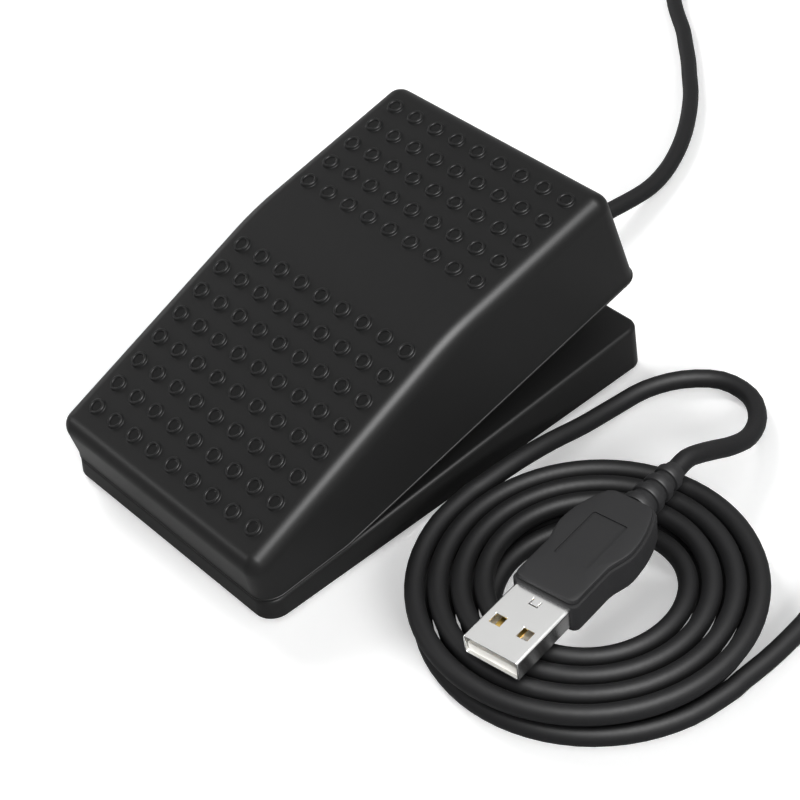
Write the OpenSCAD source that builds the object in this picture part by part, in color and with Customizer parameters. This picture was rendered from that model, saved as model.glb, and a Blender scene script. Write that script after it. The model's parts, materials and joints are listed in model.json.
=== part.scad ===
// USB foot pedal switch: a studded tread cover hinged near the front of a wedge base,
// with a return spring, a lever switch on a small circuit board, and a corded plug.
// Millimetres. The origin is on the floor under the middle of the base, +X points to the
// right, +Y towards the raised end and its cord, +Z up. Drawn at rest, with the pedal up.

/* [Base] */
// Width of the base at its foot
base_w = 63.8; // [61:0.2:70]
// Length of the base at its foot
base_l = 100.2; // [97:0.2:108]
// Height of the base at its front wall
base_front_h = 4.2; // [4:0.1:5]
// Height of the base at its rear wall
base_rear_h = 10.1; // [9.9:0.1:11.5]
// Corner radius of the base in plan
base_corner_r = 3.5; // [3:0.1:5]
// How far the deck's edge stands in from the foot, as draft
base_draft = 0.3; // [0:0.1:0.6]
// Rounding of the deck's edge
deck_edge_r = 1; // [0.4:0.1:1.4]
// Thickness of the base's walls
base_wall = 2; // [1.6:0.1:2.4]
// Thickness of the deck
deck_t = 1.8; // [1.5:0.1:1.9]
// Thickness of the bottom plate
plate_t = 1.6; // [1.5:0.05:1.7]
// How far the rubber feet stand below the base
foot_h = 1; // [0.6:0.1:2]
// Diameter of a rubber foot
foot_d = 10; // [8:0.5:12]
// Depth of the pocket that holds a rubber foot
foot_pocket = 0.6; // [0.4:0.1:0.8]

/* [Tread cover] */
// How far the skirt stands in from the ends of the base
cover_setback = 0.3; // [0.2:0.1:1]
// How far the skirt stands in from each side of the base
cover_side_in = 0.4; // [0.2:0.1:1]
// Slope of the skirt at rest, in degrees
rest_a = 10.3; // [9.5:0.1:11]
// Gap under the front edge of the skirt at rest
front_gap = 0.4; // [0.3:0.05:0.8]
// Distance of the bend in the skirt's lower edge from its front
kink_u = 20; // [19.5:0.1:22]
// How far the skirt's lower edge dips at that bend
kink_drop = 2.4; // [2:0.1:2.5]
// Height of the tread over the skirt at the front
cover_front_h = 10.2; // [9.8:0.1:11.6]
// Height of the tread over the skirt at the bend
cover_bend_h = 22.6; // [21.5:0.1:24]
// Height of the tread over the skirt at the rear
cover_rear_h = 23.9; // [23.1:0.1:25]
// Distance of the bend from the front edge of the skirt
bend_u = 56.7; // [53:0.1:59]
// Radius of the bend between the two treads
bend_r = 60; // [40:1:75]
// Rounding of the tread's edges
tread_edge_r = 3.5; // [3:0.1:4]
// Corner radius of the skirt in plan
skirt_corner_r = 3.5; // [3:0.1:5]
// Draft of the cover's sides, in degrees
side_draft = 1; // [0.5:0.1:3]
// How far the top of the front wall leans in
front_lean = 0.1; // [0.1:0.1:1]
// How far the top of the rear wall leans in
rear_lean = 1.5; // [0.5:0.1:2.5]
// Wall thickness of the cover
cover_wall = 2.2; // [1.8:0.1:2.5]
// Depth of the stiffening ribs under the tread
rib_depth = 3; // [2:0.1:4]
// Thickness of the stiffening ribs
rib_t = 1.4; // [1:0.1:2]

/* [Studs] */
// Spacing of the tread studs both ways
stud_pitch = 6.2; // [5.6:0.1:7]
// Diameter of a stud at its foot
stud_d = 3.7; // [3:0.1:4.2]
// Height of a stud
stud_h = 0.6; // [0.4:0.05:0.9]
// Distance from the bend to the first row on the front tread
stud_front_start = 7.6; // [7:0.1:9]
// Distance from the bend to the first row on the rear tread
stud_rear_start = 11.7; // [8:0.1:12.5]
// Least distance from a stud's middle to the side of the skirt
stud_side_margin = 6.2; // [5.6:0.1:8]
// Least distance from a stud's middle to either end of the tread
stud_end_margin = 5.8; // [5:0.1:7]

/* [Hinge] */
// Diameter of the hinge pin
pin_d = 3; // [2.5:0.1:3.4]
// Distance of the hinge from the front of the base
hinge_setback = 20.4; // [20:0.1:22]
// Height of the hinge over the deck
hinge_rise = 4.2; // [4:0.1:4.8]
// Wall round the hinge bores
knuckle_wall = 1.7; // [1.4:0.1:1.9]
// Distance of the base's ears from the middle
ear_x = 14; // [12:0.5:16]
// Width of the base's ears
ear_w = 4; // [3:0.5:5]
// Width of the cover's lugs
lug_w = 4; // [3:0.5:5]
// Radial play of the cover on the hinge pin
pin_play = 0.05; // [0.03:0.01:0.1]
// Sideways play of the cover between the ears and the clips
side_play = 0.3; // [0.2:0.05:0.5]
// Gap between the cover's stop heel and the deck at rest
stop_gap = 0.15; // [0.1:0.05:0.3]
// Thickness of the push-on pin clips
clip_t = 0.6; // [0.4:0.1:1]

/* [Return spring] */
// Place of the spring along the base
spring_y = 14; // [13:0.5:18]
// Outer diameter of the spring
spring_od = 13; // [11:0.5:15]
// Thickness of the spring wire
spring_wire = 1.1; // [0.9:0.05:1.3]
// Number of turns of the spring
spring_turns = 7; // [5:0.5:8]
// Length of the spring at rest
spring_l = 20; // [18:0.5:23]
// Height of the spring seat over the deck
seat_rise = 1.2; // [0.8:0.1:2]

/* [Switch and board] */
// Length of the lever switch
switch_l = 12.8; // [12:0.1:14]
// Width of the lever switch
switch_w = 5.8; // [5.4:0.1:6.6]
// Height of the lever switch
switch_h = 6.5; // [6:0.1:7]
// Place of the middle of the switch along the base
switch_y = -2.6; // [-3.5:0.1:-2]
// Length of the switch lever
lever_l = 14; // [13.6:0.1:14.8]
// Angle of the switch lever at rest, in degrees
lever_rest_a = 13; // [12.8:0.1:14]
// Width of the circuit board
board_w = 26; // [24:0.5:30]
// Length of the circuit board
board_l = 43.5; // [42:0.5:46]
// Thickness of the circuit board
board_t = 1.2; // [1:0.1:1.3]
// Gap between the bottom plate and the circuit board
board_gap = 1.5; // [1.4:0.05:1.6]

/* [Cord and plug] */
// Diameter of the cord
cord_d = 3.8; // [3.4:0.05:3.85]
// Place of the cord outlet across the rear wall
outlet_x = -5; // [-8:0.5:0]
// Height of the cord outlet over the foot of the base
outlet_h = 4.9; // [4.8:0.1:5]
// Length of the strain relief outside the rear wall
relief_l = 14; // [12:0.5:14]
// Number of turns in the coil
coil_turns = 7.5; // [7.5:1:7.5]
// Radius of the coil's outer turn
coil_r = 33; // [33:0.1:33.4]
// Step from one turn of the coil to the next
coil_step = 4.3; // [4.25:0.01:4.35]
// Width of the plug's metal shell
shell_w = 12; // [11.9:0.1:12.1]
// Thickness of the plug's metal shell
shell_h = 4.5; // [4.4:0.1:4.6]
// Length of the plug's metal shell outside the grip
shell_l = 15; // [14:0.5:19]
// Length of the plug's grip
grip_l = 28; // [26:0.5:30]
// Thickness of the plug's grip
grip_h = 8; // [7:0.5:9]

/* [Hidden] */
$fn = 48;

// Colours
black_abs = "#26272a";
dark_abs = "#1d1e20";
black_rubber = "#17181a";
steel = "#b9bcc0";
board_green = "#1f5b3a";

// Overlap between features of one solid, and how far a cut runs past a face
weld = 0.6;
past = 1;
// Sides of a small round form inside a hull
hull_fn = 32;

// Base: the deck is a plane that rises to the rear
deck_a = atan((base_rear_h - base_front_h) / base_l);
function deck_z(y) = foot_h + base_front_h + (y + base_l / 2) * tan(deck_a);
plate_top = foot_h + plate_t;
plate_fit = 0.15;
inner_corner_r = base_corner_r - base_wall;
inner_w = base_w - 2 * base_wall;
inner_l = base_l - 2 * base_wall;

// Points of a rectangle with round corners, about the origin
corner_steps = 8;
function round_rect(w, l, r) = [
    for (c = [[1, 1, 0], [-1, 1, 90], [-1, -1, 180], [1, -1, 270]], i = [0:corner_steps])
        let (a = c[2] + 90 * i / corner_steps)
        [c[0] * (w / 2 - r) + r * cos(a), c[1] * (l / 2 - r) + r * sin(a)]
];

// Bottom screws and feet: distances in from the edges of the base
screw_in = 6.8;
screw_front_in = 22;
screw_rear_in = 26;
screw_d = 2.4;
screw_head_d = 4.6;
screw_head_h = 1.1;
screw_l = 4.2;
cross_l = 2.4;
cross_w = 0.6;
cross_h = 0.6;
thread_bite = 0.1;
hole_end = 0.2;
screw_boss_d = 6;
foot_in_x = 11.8;
foot_in_y = 12;
screw_places = [
    for (x = [-1, 1], y = [screw_front_in - base_l / 2, base_l / 2 - screw_rear_in])
        [x * (base_w / 2 - screw_in), y]
];
foot_places = [
    for (x = [-1, 1], y = [-1, 1]) [x * (base_w / 2 - foot_in_x), y * (base_l / 2 - foot_in_y)]
];

// Cover: its own frame starts at the middle of the skirt's front edge
cover_w = base_w - 2 * cover_side_in;
cover_l = (base_l - 2 * cover_setback) / cos(rest_a);
cover_y = cover_setback - base_l / 2;
cover_z = deck_z(cover_y) + front_gap;
front_tilt = atan(kink_drop / kink_u);
rear_tilt = atan(kink_drop / (cover_l - kink_u));
front_a = atan((cover_bend_h - cover_front_h) / bend_u);
rear_a = atan((cover_rear_h - cover_bend_h) / (cover_l - bend_u));
bend_half_a = (front_a - rear_a) / 2;
bend_mid_a = (front_a + rear_a) / 2;
bend_steps = 4;
bend_u0 = bend_u + bend_r / cos(bend_half_a) * sin(bend_mid_a);
bend_z0 = cover_bend_h - bend_r / cos(bend_half_a) * cos(bend_mid_a);
function front_tread(u) = cover_bend_h + (u - bend_u) * tan(front_a);
function rear_tread(u) = cover_bend_h + (u - bend_u) * tan(rear_a);
edge_front_u = front_lean + tread_edge_r;
edge_rear_u = cover_l - rear_lean - tread_edge_r;
// Path of the middle of the edge rounding, from the front over the bend to the rear
edge_path = concat(
    [[edge_front_u, front_tread(edge_front_u) - tread_edge_r / cos(front_a)]],
    [for (i = [0:bend_steps])
        let (a = front_a + (rear_a - front_a) * i / bend_steps, r = bend_r - tread_edge_r)
        [bend_u0 - r * sin(a), bend_z0 + r * cos(a)]],
    [[edge_rear_u, rear_tread(edge_rear_u) - tread_edge_r / cos(rear_a)]]
);
function edge_x(h) = cover_w / 2 - h * tan(side_draft) - tread_edge_r;
module at_cover() translate([0, cover_y, cover_z]) rotate([rest_a, 0, 0]) children();

// Studs: as many as fit
stud_columns = floor((cover_w / 2 - stud_side_margin) / stud_pitch);
front_tread_l = bend_u / cos(front_a);
rear_tread_l = (cover_l - bend_u) / cos(rear_a);
stud_front_rows = floor((front_tread_l - stud_front_start - stud_end_margin) / stud_pitch);
stud_rear_rows = floor((rear_tread_l - stud_rear_start - stud_end_margin) / stud_pitch);
stud_top_share = 0.78;
stud_sink = 0.5;

// Ribs under the tread, in the cover's frame
rib_long_x = 12;
rib_cross_u = [22.5, 49, 79];

// Hinge
hinge_y = hinge_setback - base_l / 2;
hinge_z = deck_z(hinge_y) + hinge_rise;
knuckle_r = pin_d / 2 + knuckle_wall;
lug_x = ear_x + ear_w + side_play;
clip_x = lug_x + lug_w + side_play;
clip_in = 0.2;
clip_d = 2 * (knuckle_r - clip_in);
pin_end = 1;
pin_half_l = clip_x + clip_t + pin_end;
heel_l = 2 * knuckle_wall;

// Spring
seat_z = deck_z(spring_y) + seat_rise;
spring_top = seat_z + spring_l;
seat_rim = 1.5;
spring_seat_d = spring_od + 2 * seat_rim;
spring_play = 0.35;
spigot_d = spring_od - 2 * spring_wire - 2 * spring_play;
spigot_h = 3;
spigot_chamfer = 0.6;
spring_rings = 8;
end_turn_gap = 0.6;
end_turn_step = spring_wire + end_turn_gap;
spring_sides = 6;

// Switch and board
board_z = plate_top + board_gap;
board_top = board_z + board_t;
board_lip = 0.5;
board_front = switch_y - switch_l / 2 - board_lip;
board_rear = board_front + board_l;
switch_top = board_top + switch_h;
switch_play = 0.4;
lever_t = 0.3;
lever_w = 3.6;
lever_pin_d = 0.8;
lever_pin_play = 0.05;
lever_ear_t = 0.8;
pivot_in = 1.2;
pivot_rise = 0.6;
pivot_y = switch_y + switch_l / 2 - pivot_in;
pivot_z = switch_top + pivot_rise;
plunger_d = 1.6;
plunger_play = 0.08;
plunger_reach = 3.2;
plunger_gap = 0.1;
plunger_depth = 2.6;
plunger_travel = 1.2;
plunger_y = pivot_y - plunger_reach;
plunger_top = pivot_z + plunger_reach * tan(lever_rest_a)
    - (lever_t / 2 + plunger_gap) / cos(lever_rest_a) - plunger_d / 2 * tan(lever_rest_a);
actuator_reach = 12.6;
actuator_r = 1.2;
actuator_gap = 0.3;
actuator_t = 2;
actuator_l = 7;
actuator_y = pivot_y - actuator_reach;
actuator_z = pivot_z + actuator_reach * tan(lever_rest_a)
    + (lever_t / 2 + actuator_gap + actuator_r) / cos(lever_rest_a);
terminal_pitch = 5.08;
terminal_d = 0.9;
terminal_tail = 0.7;
terminal_play = 0.1;
board_screw_in = 2.8;
board_screw_front_in = 13.5;
board_screw_rear_in = 5;
board_screw_d = 1.8;
board_screw_head_d = 3.2;
board_screw_head_h = 0.9;
board_screw_l = 3.2;
board_boss_d = 4.2;
board_screw_places = [
    for (x = [-1, 1], y = [board_front + board_screw_front_in, board_rear - board_screw_rear_in])
        [x * (board_w / 2 - board_screw_in), y]
];

chip = [4, 9.9, 1.4];
chip_at = [-5, 19];
chip_leads = 8;
chip_lead = [0.95, 0.42, 0.25];
chip_lead_pitch = 1.27;
crystal = [3.2, 5, 0.9];
crystal_at = [4, 21];
small_part = [0.9, 1.7, 0.55];
small_part_at = [[3, 13], [5, 13], [7, 13], [2.5, 27], [5, 27]];

// Cord outlet
outlet_z = foot_h + outlet_h;
rear_y = base_l / 2;
relief_end = rear_y + relief_l;
neck_wall = 0.5;
neck_d = cord_d + 2 * neck_wall;
neck_play = 0.1;
flange_wall = 1.1;
relief_flange_d = cord_d + 2 * flange_wall;
relief_flange_t = 1.2;
relief_root_wall = 1.6;
relief_root_d = cord_d + 2 * relief_root_wall;
relief_tip_wall = 0.5;
relief_tip_d = cord_d + 2 * relief_tip_wall;
relief_ribs = 4;
tail_l = 7;
tail_y = rear_y - base_wall - relief_flange_t;
wire_d = 0.9;
wire_pitch = 2.2;
wire_sides = 8;

// Cord route on the floor, from the strain relief to the coil
cord_z = 2;
cord_sides = 8;
run_points = [
    [-5, 70, 5.7], [-5.5, 78, 4.9], [-6, 86, 3.6], [-7, 93, 2.5], [-9, 100, 2], [-12, 107, 2],
    [-16, 114, 2], [-21, 121, 2], [-26, 127, 2], [-31, 132, 2], [-36, 137, 2], [-41, 141.5, 2],
    [-46, 146, 2], [-52, 150.5, 2], [-58, 155.5, 2], [-66, 164, 2], [-72, 174, 2], [-75, 185, 2],
    [-73, 196, 2], [-67, 205, 2], [-58, 211, 2], [-47, 212, 2], [-36, 208, 2], [-26, 200, 2],
    [-16, 189, 2], [-6, 177, 2], [4, 165, 2], [14, 152, 2], [24, 139, 2], [34, 126, 2],
    [44, 113, 2], [54, 100, 2], [64, 87, 2], [74, 74, 2], [83, 61, 2], [91, 48, 2],
    [98, 34, 2], [102.5, 20, 2], [104, 8, 2],
];
// Lead from the coil's top layer round to the plug that lies on the coil
lead_points = [
    [38, 8, 6.1], [38, 17, 5], [38, 26, 3.2], [38, 35, 2.1], [39, 43, 2], [42.5, 50, 2],
    [48.5, 55, 2], [56, 55, 2.2], [62, 50.5, 3], [65.6, 44, 4.8], [66.6, 38, 7.2],
    [66.6, 33, 9.6], [66.5, 29, 11.4],
];

// Coil: two layers, in and out again
coil_at = [71, -5];
layer_gap = 0.5;
coil_rise = cord_d + layer_gap;
coil_rings = 24;
coil_sides = 6;
coil_climb = 0.25;
coil_soft = 0.03;
coil_mid = coil_turns / 2;
coil_inner_r = coil_r - coil_step * (sqrt(coil_mid * coil_mid + coil_soft * coil_soft));
function smooth(t) = t <= 0 ? 0 : t >= 1 ? 1 : t * t * (3 - 2 * t);
function coil_point(t) =
    let (r = coil_inner_r + coil_step * sqrt(pow(t - coil_mid, 2) + coil_soft * coil_soft))
    [coil_at[0] + r * cos(-360 * t), coil_at[1] + r * sin(-360 * t),
     cord_z + coil_rise * smooth((t - coil_mid + coil_climb) / (2 * coil_climb))];
coil_path = concat(
    [coil_point(0) + [0, cord_d, 0]],
    [for (i = [0:coil_turns * coil_rings]) coil_point(i / coil_rings)],
    [coil_point(coil_turns) + [0, cord_d, 0]]
);

// Plug: its own frame starts at the middle of the grip, with the shell towards +Y
plug_turn = 188.5;
plug_gap = 0.3;
plug_z = cord_z + coil_rise + cord_d / 2 + plug_gap + grip_h / 2;
plug_relief_l = 13;
plug_relief_wall = 1.7;
plug_relief_d = cord_d + 2 * plug_relief_wall;
plug_relief_tip_wall = 0.7;
plug_relief_tip_d = cord_d + 2 * plug_relief_tip_wall;
plug_relief_ribs = 4;
grip_lip = 1.15;
grip_front_w = shell_w + 2 * grip_lip;
grip_bulge = 1.2;
grip_front_share = 0.36;
grip_flare_share = 0.22;
grip_rear_w = 10.4;
grip_step = 0.5;
grip_points = 20;
shell_t = 0.35;
window = 2.4;
window_gap = 3.6;
window_in = 5;
latch = [1.6, 0.9];
latch_in = 2;
tongue_h = 1.9;
tongue_play = 0.1;
tongue_w = shell_w - 2 * (shell_t + tongue_play);
tongue_short = 0.6;
contact_pitch = 2.5;
contact_mid_pitch = 2;
contact_w = 1;
contact_t = 0.25;
plug_axis = [-sin(plug_turn), cos(plug_turn), 0];
plug_mid = [coil_at[0], coil_at[1], plug_z];
plug_tail = plug_mid - plug_axis * (grip_l / 2 + plug_relief_l);
module at_plug() translate(plug_mid) rotate([0, 0, plug_turn]) children();

// Half width of the grip at a share of its length, from its front to its rear
function grip_half_w(s) =
    let (flare = smooth((s - grip_front_share) / grip_flare_share),
         taper = max(0, (s - grip_front_share - grip_flare_share)
                        / (1 - grip_front_share - grip_flare_share)),
         wide = grip_front_w / 2 + grip_bulge)
    s < grip_front_share + grip_flare_share
        ? grip_front_w / 2 + grip_bulge * flare
        : wide - (wide - grip_rear_w / 2) * taper * taper;

// A tube swept along points, with its ends square to the path
function unit(v) = v / norm(v);
function heading(path, i) = unit(path[min(i + 1, len(path) - 1)] - path[max(i - 1, 0)]);
function ring_points(path, i, r, sides) =
    let (t = heading(path, i), s = unit(cross([0, 0, 1], t)), u = cross(t, s))
    [for (k = [0:sides - 1])
        path[i] + r * (cos(360 * (k + 0.5) / sides) * s + sin(360 * (k + 0.5) / sides) * u)];
module tube(path, d, sides) {
    last = (len(path) - 1) * sides;
    polyhedron(
        points = [for (i = [0:len(path) - 1]) each ring_points(path, i, d / 2, sides)],
        faces = concat(
            [for (i = [0:len(path) - 2], k = [0:sides - 1])
                let (a = i * sides + k, b = i * sides + (k + 1) % sides)
                each [[a, a + sides, b], [b, a + sides, b + sides]]],
            [for (k = [1:sides - 2]) [0, k, k + 1]],
            [for (k = [1:sides - 2]) [last, last + k + 1, last + k]]
        )
    );
}

// Spring path: close end turns, even turns between
function spring_height(t) =
    let (span = spring_l - spring_wire, step = (span - 2 * end_turn_step) / (spring_turns - 2))
    t < 1 ? t * end_turn_step
    : t > spring_turns - 1 ? span - (spring_turns - t) * end_turn_step
    : end_turn_step + (t - 1) * step;
spring_path = [
    for (i = [0:spring_turns * spring_rings])
        let (t = i / spring_rings, r = (spring_od - spring_wire) / 2)
        [r * cos(360 * t), spring_y + r * sin(360 * t), seat_z + spring_wire / 2 + spring_height(t)]
];

// Least gap of a wound tube to itself, measured between points over half a turn apart
function least_gap(path, d, apart) = min([
    for (i = [0:len(path) - 1], j = [i + apart:1:len(path) - 1]) norm(path[i] - path[j]) - d
]);
echo(coil_least_gap = least_gap(coil_path, cord_d, coil_rings / 2));
echo(spring_least_gap = least_gap(spring_path, spring_wire, spring_rings / 2));

// Length of a path
function path_length(p) =
    len(p) < 2 ? 0 : norm(p[1] - p[0]) + path_length([for (i = [1:len(p) - 1]) p[i]]);
run_path = concat([[outlet_x, relief_end, outlet_z]], run_points, [coil_path[0]]);
lead_path = concat(
    [coil_path[len(coil_path) - 1]], lead_points, [plug_tail - cord_d * plug_axis, plug_tail]
);
echo(cord_length = [for (p = [run_path, coil_path, lead_path]) path_length(p)]);

// A plate in the YZ plane, w wide from x outwards on both sides
module side_plates(x, w) {
    for (side = [0, 1]) mirror([side, 0, 0])
        translate([x, 0, 0]) rotate([90, 0, 90]) linear_extrude(w) children();
}

// Base housing
module base_form() {
    reach_x = base_w / 2 - base_corner_r;
    reach_y = base_l / 2 - base_corner_r;
    foot_edge = 0.4;
    slice = 0.04;
    top_r = base_corner_r - base_draft;
    hull() {
        for (x = [-1, 1], y = [-1, 1]) {
            translate([x * reach_x, y * reach_y, foot_h])
                cylinder(r = base_corner_r, h = foot_edge, $fn = hull_fn);
            for (a = [0:30:90])
                translate([x * reach_x, y * reach_y, deck_z(y * reach_y)])
                    rotate([deck_a, 0, 0])
                    translate([0, 0, -deck_edge_r * (1 - sin(a)) - slice])
                    cylinder(r = top_r - deck_edge_r * (1 - cos(a)), h = slice, $fn = hull_fn);
        }
    }
}

module under_deck(drop) {
    translate([0, 0, deck_z(0) - drop]) rotate([deck_a, 0, 0])
        translate([-base_w, -base_l, -2 * base_l]) cube([2 * base_w, 2 * base_l, 2 * base_l]);
}

module base_cavity() {
    intersection() {
        translate([0, 0, foot_h - past])
            linear_extrude(base_rear_h + 2 * past)
            polygon(round_rect(inner_w, inner_l, inner_corner_r));
        under_deck(deck_t);
    }
}

module knuckle(drop) {
    translate([hinge_y, hinge_z]) circle(r = knuckle_r);
    translate([hinge_y - knuckle_r, hinge_z - drop]) square([2 * knuckle_r, drop]);
}

module hanging_bosses(places, d, bottom) {
    for (p = places)
        translate([p[0], p[1], bottom])
            cylinder(d = d, h = deck_z(p[1]) - deck_t + weld - bottom);
}

module pilot_holes(places, d, bottom, depth) {
    for (p = places) translate([p[0], p[1], bottom - past]) cylinder(d = d, h = depth + past);
}

// Short post that holds an end of the spring, with its root sunk into the seat
module spigot() {
    rotate_extrude() polygon([
        [0, -weld],
        [spigot_d / 2, -weld],
        [spigot_d / 2, spigot_h - spigot_chamfer],
        [spigot_d / 2 - spigot_chamfer, spigot_h],
        [0, spigot_h],
    ]);
}

module base_housing() color(black_abs) {
    difference() {
        union() {
            difference() {
                base_form();
                base_cavity();
            }
            hanging_bosses(screw_places, screw_boss_d, plate_top);
            hanging_bosses(board_screw_places, board_boss_d, board_top);
            side_plates(ear_x, ear_w) knuckle(hinge_rise + weld);
            translate([0, spring_y, deck_z(spring_y) - weld])
                cylinder(d = spring_seat_d, h = seat_rise + weld);
            translate([0, spring_y, seat_z]) spigot();
        }
        translate([-pin_half_l, hinge_y, hinge_z]) rotate([0, 90, 0])
            cylinder(d = pin_d, h = 2 * pin_half_l);
        translate([-switch_w / 2 - switch_play, switch_y - switch_l / 2 - switch_play, board_top])
            cube([switch_w + 2 * switch_play, switch_l + 2 * switch_play, base_rear_h]);
        translate([outlet_x, rear_y - base_wall - past, outlet_z]) rotate([-90, 0, 0])
            cylinder(d = neck_d + 2 * neck_play, h = base_wall + 2 * past);
        pilot_holes(screw_places, screw_d - 2 * thread_bite, plate_top, screw_l - plate_t + hole_end);
        pilot_holes(board_screw_places, board_screw_d - 2 * thread_bite, board_top,
                    board_screw_l - board_t + hole_end);
    }
}

// Bottom plate with its screws and feet
module countersunk_screw(grow) {
    cylinder(d1 = screw_head_d + 2 * grow, d2 = screw_d + 2 * grow, h = screw_head_h);
    cylinder(d = screw_d + 2 * grow, h = screw_l);
}

module bottom_plate() color(dark_abs) {
    hole_play = 0.15;
    difference() {
        translate([0, 0, foot_h]) linear_extrude(plate_t)
            polygon(round_rect(inner_w - 2 * plate_fit, inner_l - 2 * plate_fit,
                               inner_corner_r - plate_fit));
        for (p = screw_places) translate([p[0], p[1], foot_h]) {
            countersunk_screw(hole_play);
            translate([0, 0, -past]) cylinder(d = screw_head_d + 2 * hole_play, h = past);
        }
        for (p = foot_places) translate([p[0], p[1], foot_h - past])
            cylinder(d = foot_d + 2 * plate_fit, h = foot_pocket + past);
    }
}

module bottom_screws() color(steel) {
    for (p = screw_places) translate([p[0], p[1], foot_h]) difference() {
        countersunk_screw(0);
        for (turn = [0, 90]) rotate([0, 0, turn])
            translate([-cross_l / 2, -cross_w / 2, -past]) cube([cross_l, cross_w, past + cross_h]);
    }
}

module rubber_feet() color(black_rubber) {
    edge = 0.5;
    for (p = foot_places) translate([p[0], p[1], 0]) {
        cylinder(d1 = foot_d - 2 * edge, d2 = foot_d, h = edge);
        translate([0, 0, edge]) cylinder(d = foot_d, h = foot_h + foot_pocket - edge);
    }
}

// Tread cover: the skirt's lower edge runs along the deck in front and rises behind the hinge
module cover_form(inset) {
    floor_h = 0.4;
    drop = inset > 0 ? past : 0;
    half_w = cover_w / 2 + kink_drop * tan(side_draft) - inset;
    hull() {
        translate([-half_w, kink_u - floor_h / 2, -kink_drop - drop])
            cube([2 * half_w, floor_h, floor_h + drop]);
        for (x = [-1, 1]) {
            translate([x * (cover_w / 2 - skirt_corner_r), 0, 0]) {
                rotate([-front_tilt, 0, 0]) translate([0, skirt_corner_r, -drop])
                    cylinder(r = skirt_corner_r - inset, h = floor_h + drop, $fn = hull_fn);
                translate([0, cover_l, 0]) rotate([rear_tilt, 0, 0])
                    translate([0, -skirt_corner_r, -drop])
                    cylinder(r = skirt_corner_r - inset, h = floor_h + drop, $fn = hull_fn);
            }
            for (p = edge_path)
                translate([x * edge_x(p[1]), p[0], p[1]])
                    sphere(r = tread_edge_r - inset, $fn = hull_fn);
        }
    }
}

module stud_row(y) {
    for (i = [-stud_columns:stud_columns])
        translate([i * stud_pitch, y, -stud_sink])
            cylinder(d1 = stud_d, d2 = stud_d * stud_top_share, h = stud_h + stud_sink);
}

module studs() {
    translate([0, bend_u, cover_bend_h]) {
        rotate([front_a, 0, 0])
            for (i = [0:stud_front_rows]) stud_row(-stud_front_start - i * stud_pitch);
        rotate([rear_a, 0, 0])
            for (i = [0:stud_rear_rows]) stud_row(stud_rear_start + i * stud_pitch);
    }
}

module cover_ribs() {
    for (x = [-1, 1])
        translate([x * rib_long_x - rib_t / 2, 0, 0]) rotate([90, 0, 90]) linear_extrude(rib_t)
            polygon([
                [past, front_tread(past) - cover_wall - rib_depth],
                [bend_u, cover_bend_h - cover_wall - rib_depth],
                [cover_l - past, rear_tread(cover_l - past) - cover_wall - rib_depth],
                [cover_l - past, cover_rear_h],
                [bend_u, cover_bend_h],
                [past, cover_front_h],
            ]);
    for (u = rib_cross_u)
        translate([-cover_w / 2, u, min(front_tread(u), rear_tread(u)) - cover_wall - rib_depth])
            cube([cover_w, rib_t, rib_depth + cover_wall]);
}

module spring_boss() {
    translate([0, spring_y, spring_top]) {
        cylinder(d = spring_seat_d, h = base_l);
        mirror([0, 0, 1]) spigot();
    }
}

module actuator() {
    translate([-actuator_l / 2, actuator_y, actuator_z]) {
        rotate([0, 90, 0]) cylinder(r = actuator_r, h = actuator_l);
        translate([0, -actuator_t / 2, 0]) cube([actuator_l, actuator_t, base_l]);
        translate([actuator_l / 2 - actuator_t / 2, -actuator_l / 2, actuator_l / 2])
            cube([actuator_t, actuator_l, base_l]);
    }
}

module cover_lugs() {
    heel_z = deck_z(hinge_y - knuckle_r) + stop_gap;
    side_plates(lug_x, lug_w) {
        translate([hinge_y, hinge_z]) circle(r = knuckle_r);
        translate([hinge_y - knuckle_r, hinge_z]) square([2 * knuckle_r, base_l]);
        polygon([
            [hinge_y - knuckle_r, hinge_z],
            [hinge_y - knuckle_r, heel_z],
            [hinge_y - knuckle_r + heel_l, heel_z + heel_l * tan(deck_a)],
            [hinge_y - knuckle_r + heel_l, hinge_z],
        ]);
    }
}

module pedal_cover() color(black_abs) {
    trim_in = 0.8;
    difference() {
        union() {
            at_cover() difference() {
                cover_form(0);
                cover_form(cover_wall);
            }
            intersection() {
                at_cover() cover_form(trim_in);
                union() {
                    at_cover() cover_ribs();
                    spring_boss();
                    actuator();
                    cover_lugs();
                }
            }
            at_cover() studs();
        }
        translate([-pin_half_l, hinge_y, hinge_z]) rotate([0, 90, 0])
            cylinder(d = pin_d + 2 * pin_play, h = 2 * pin_half_l);
    }
}

// Hinge pin and its clips
module hinge_pin() color(steel) {
    bevel = 0.4;
    translate([-pin_half_l, hinge_y, hinge_z]) rotate([0, 90, 0]) {
        cylinder(d1 = pin_d - 2 * bevel, d2 = pin_d, h = bevel);
        translate([0, 0, bevel]) cylinder(d = pin_d, h = 2 * (pin_half_l - bevel));
        translate([0, 0, 2 * pin_half_l - bevel]) cylinder(d1 = pin_d, d2 = pin_d - 2 * bevel, h = bevel);
    }
}

module pin_clips() color(steel) {
    for (side = [0, 1]) mirror([side, 0, 0])
        translate([clip_x, hinge_y, hinge_z]) rotate([0, 90, 0]) difference() {
            cylinder(d = clip_d, h = clip_t);
            translate([0, 0, -past]) cylinder(d = pin_d, h = clip_t + 2 * past);
        }
}

module return_spring() color(steel) tube(spring_path, spring_wire, spring_sides);

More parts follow.
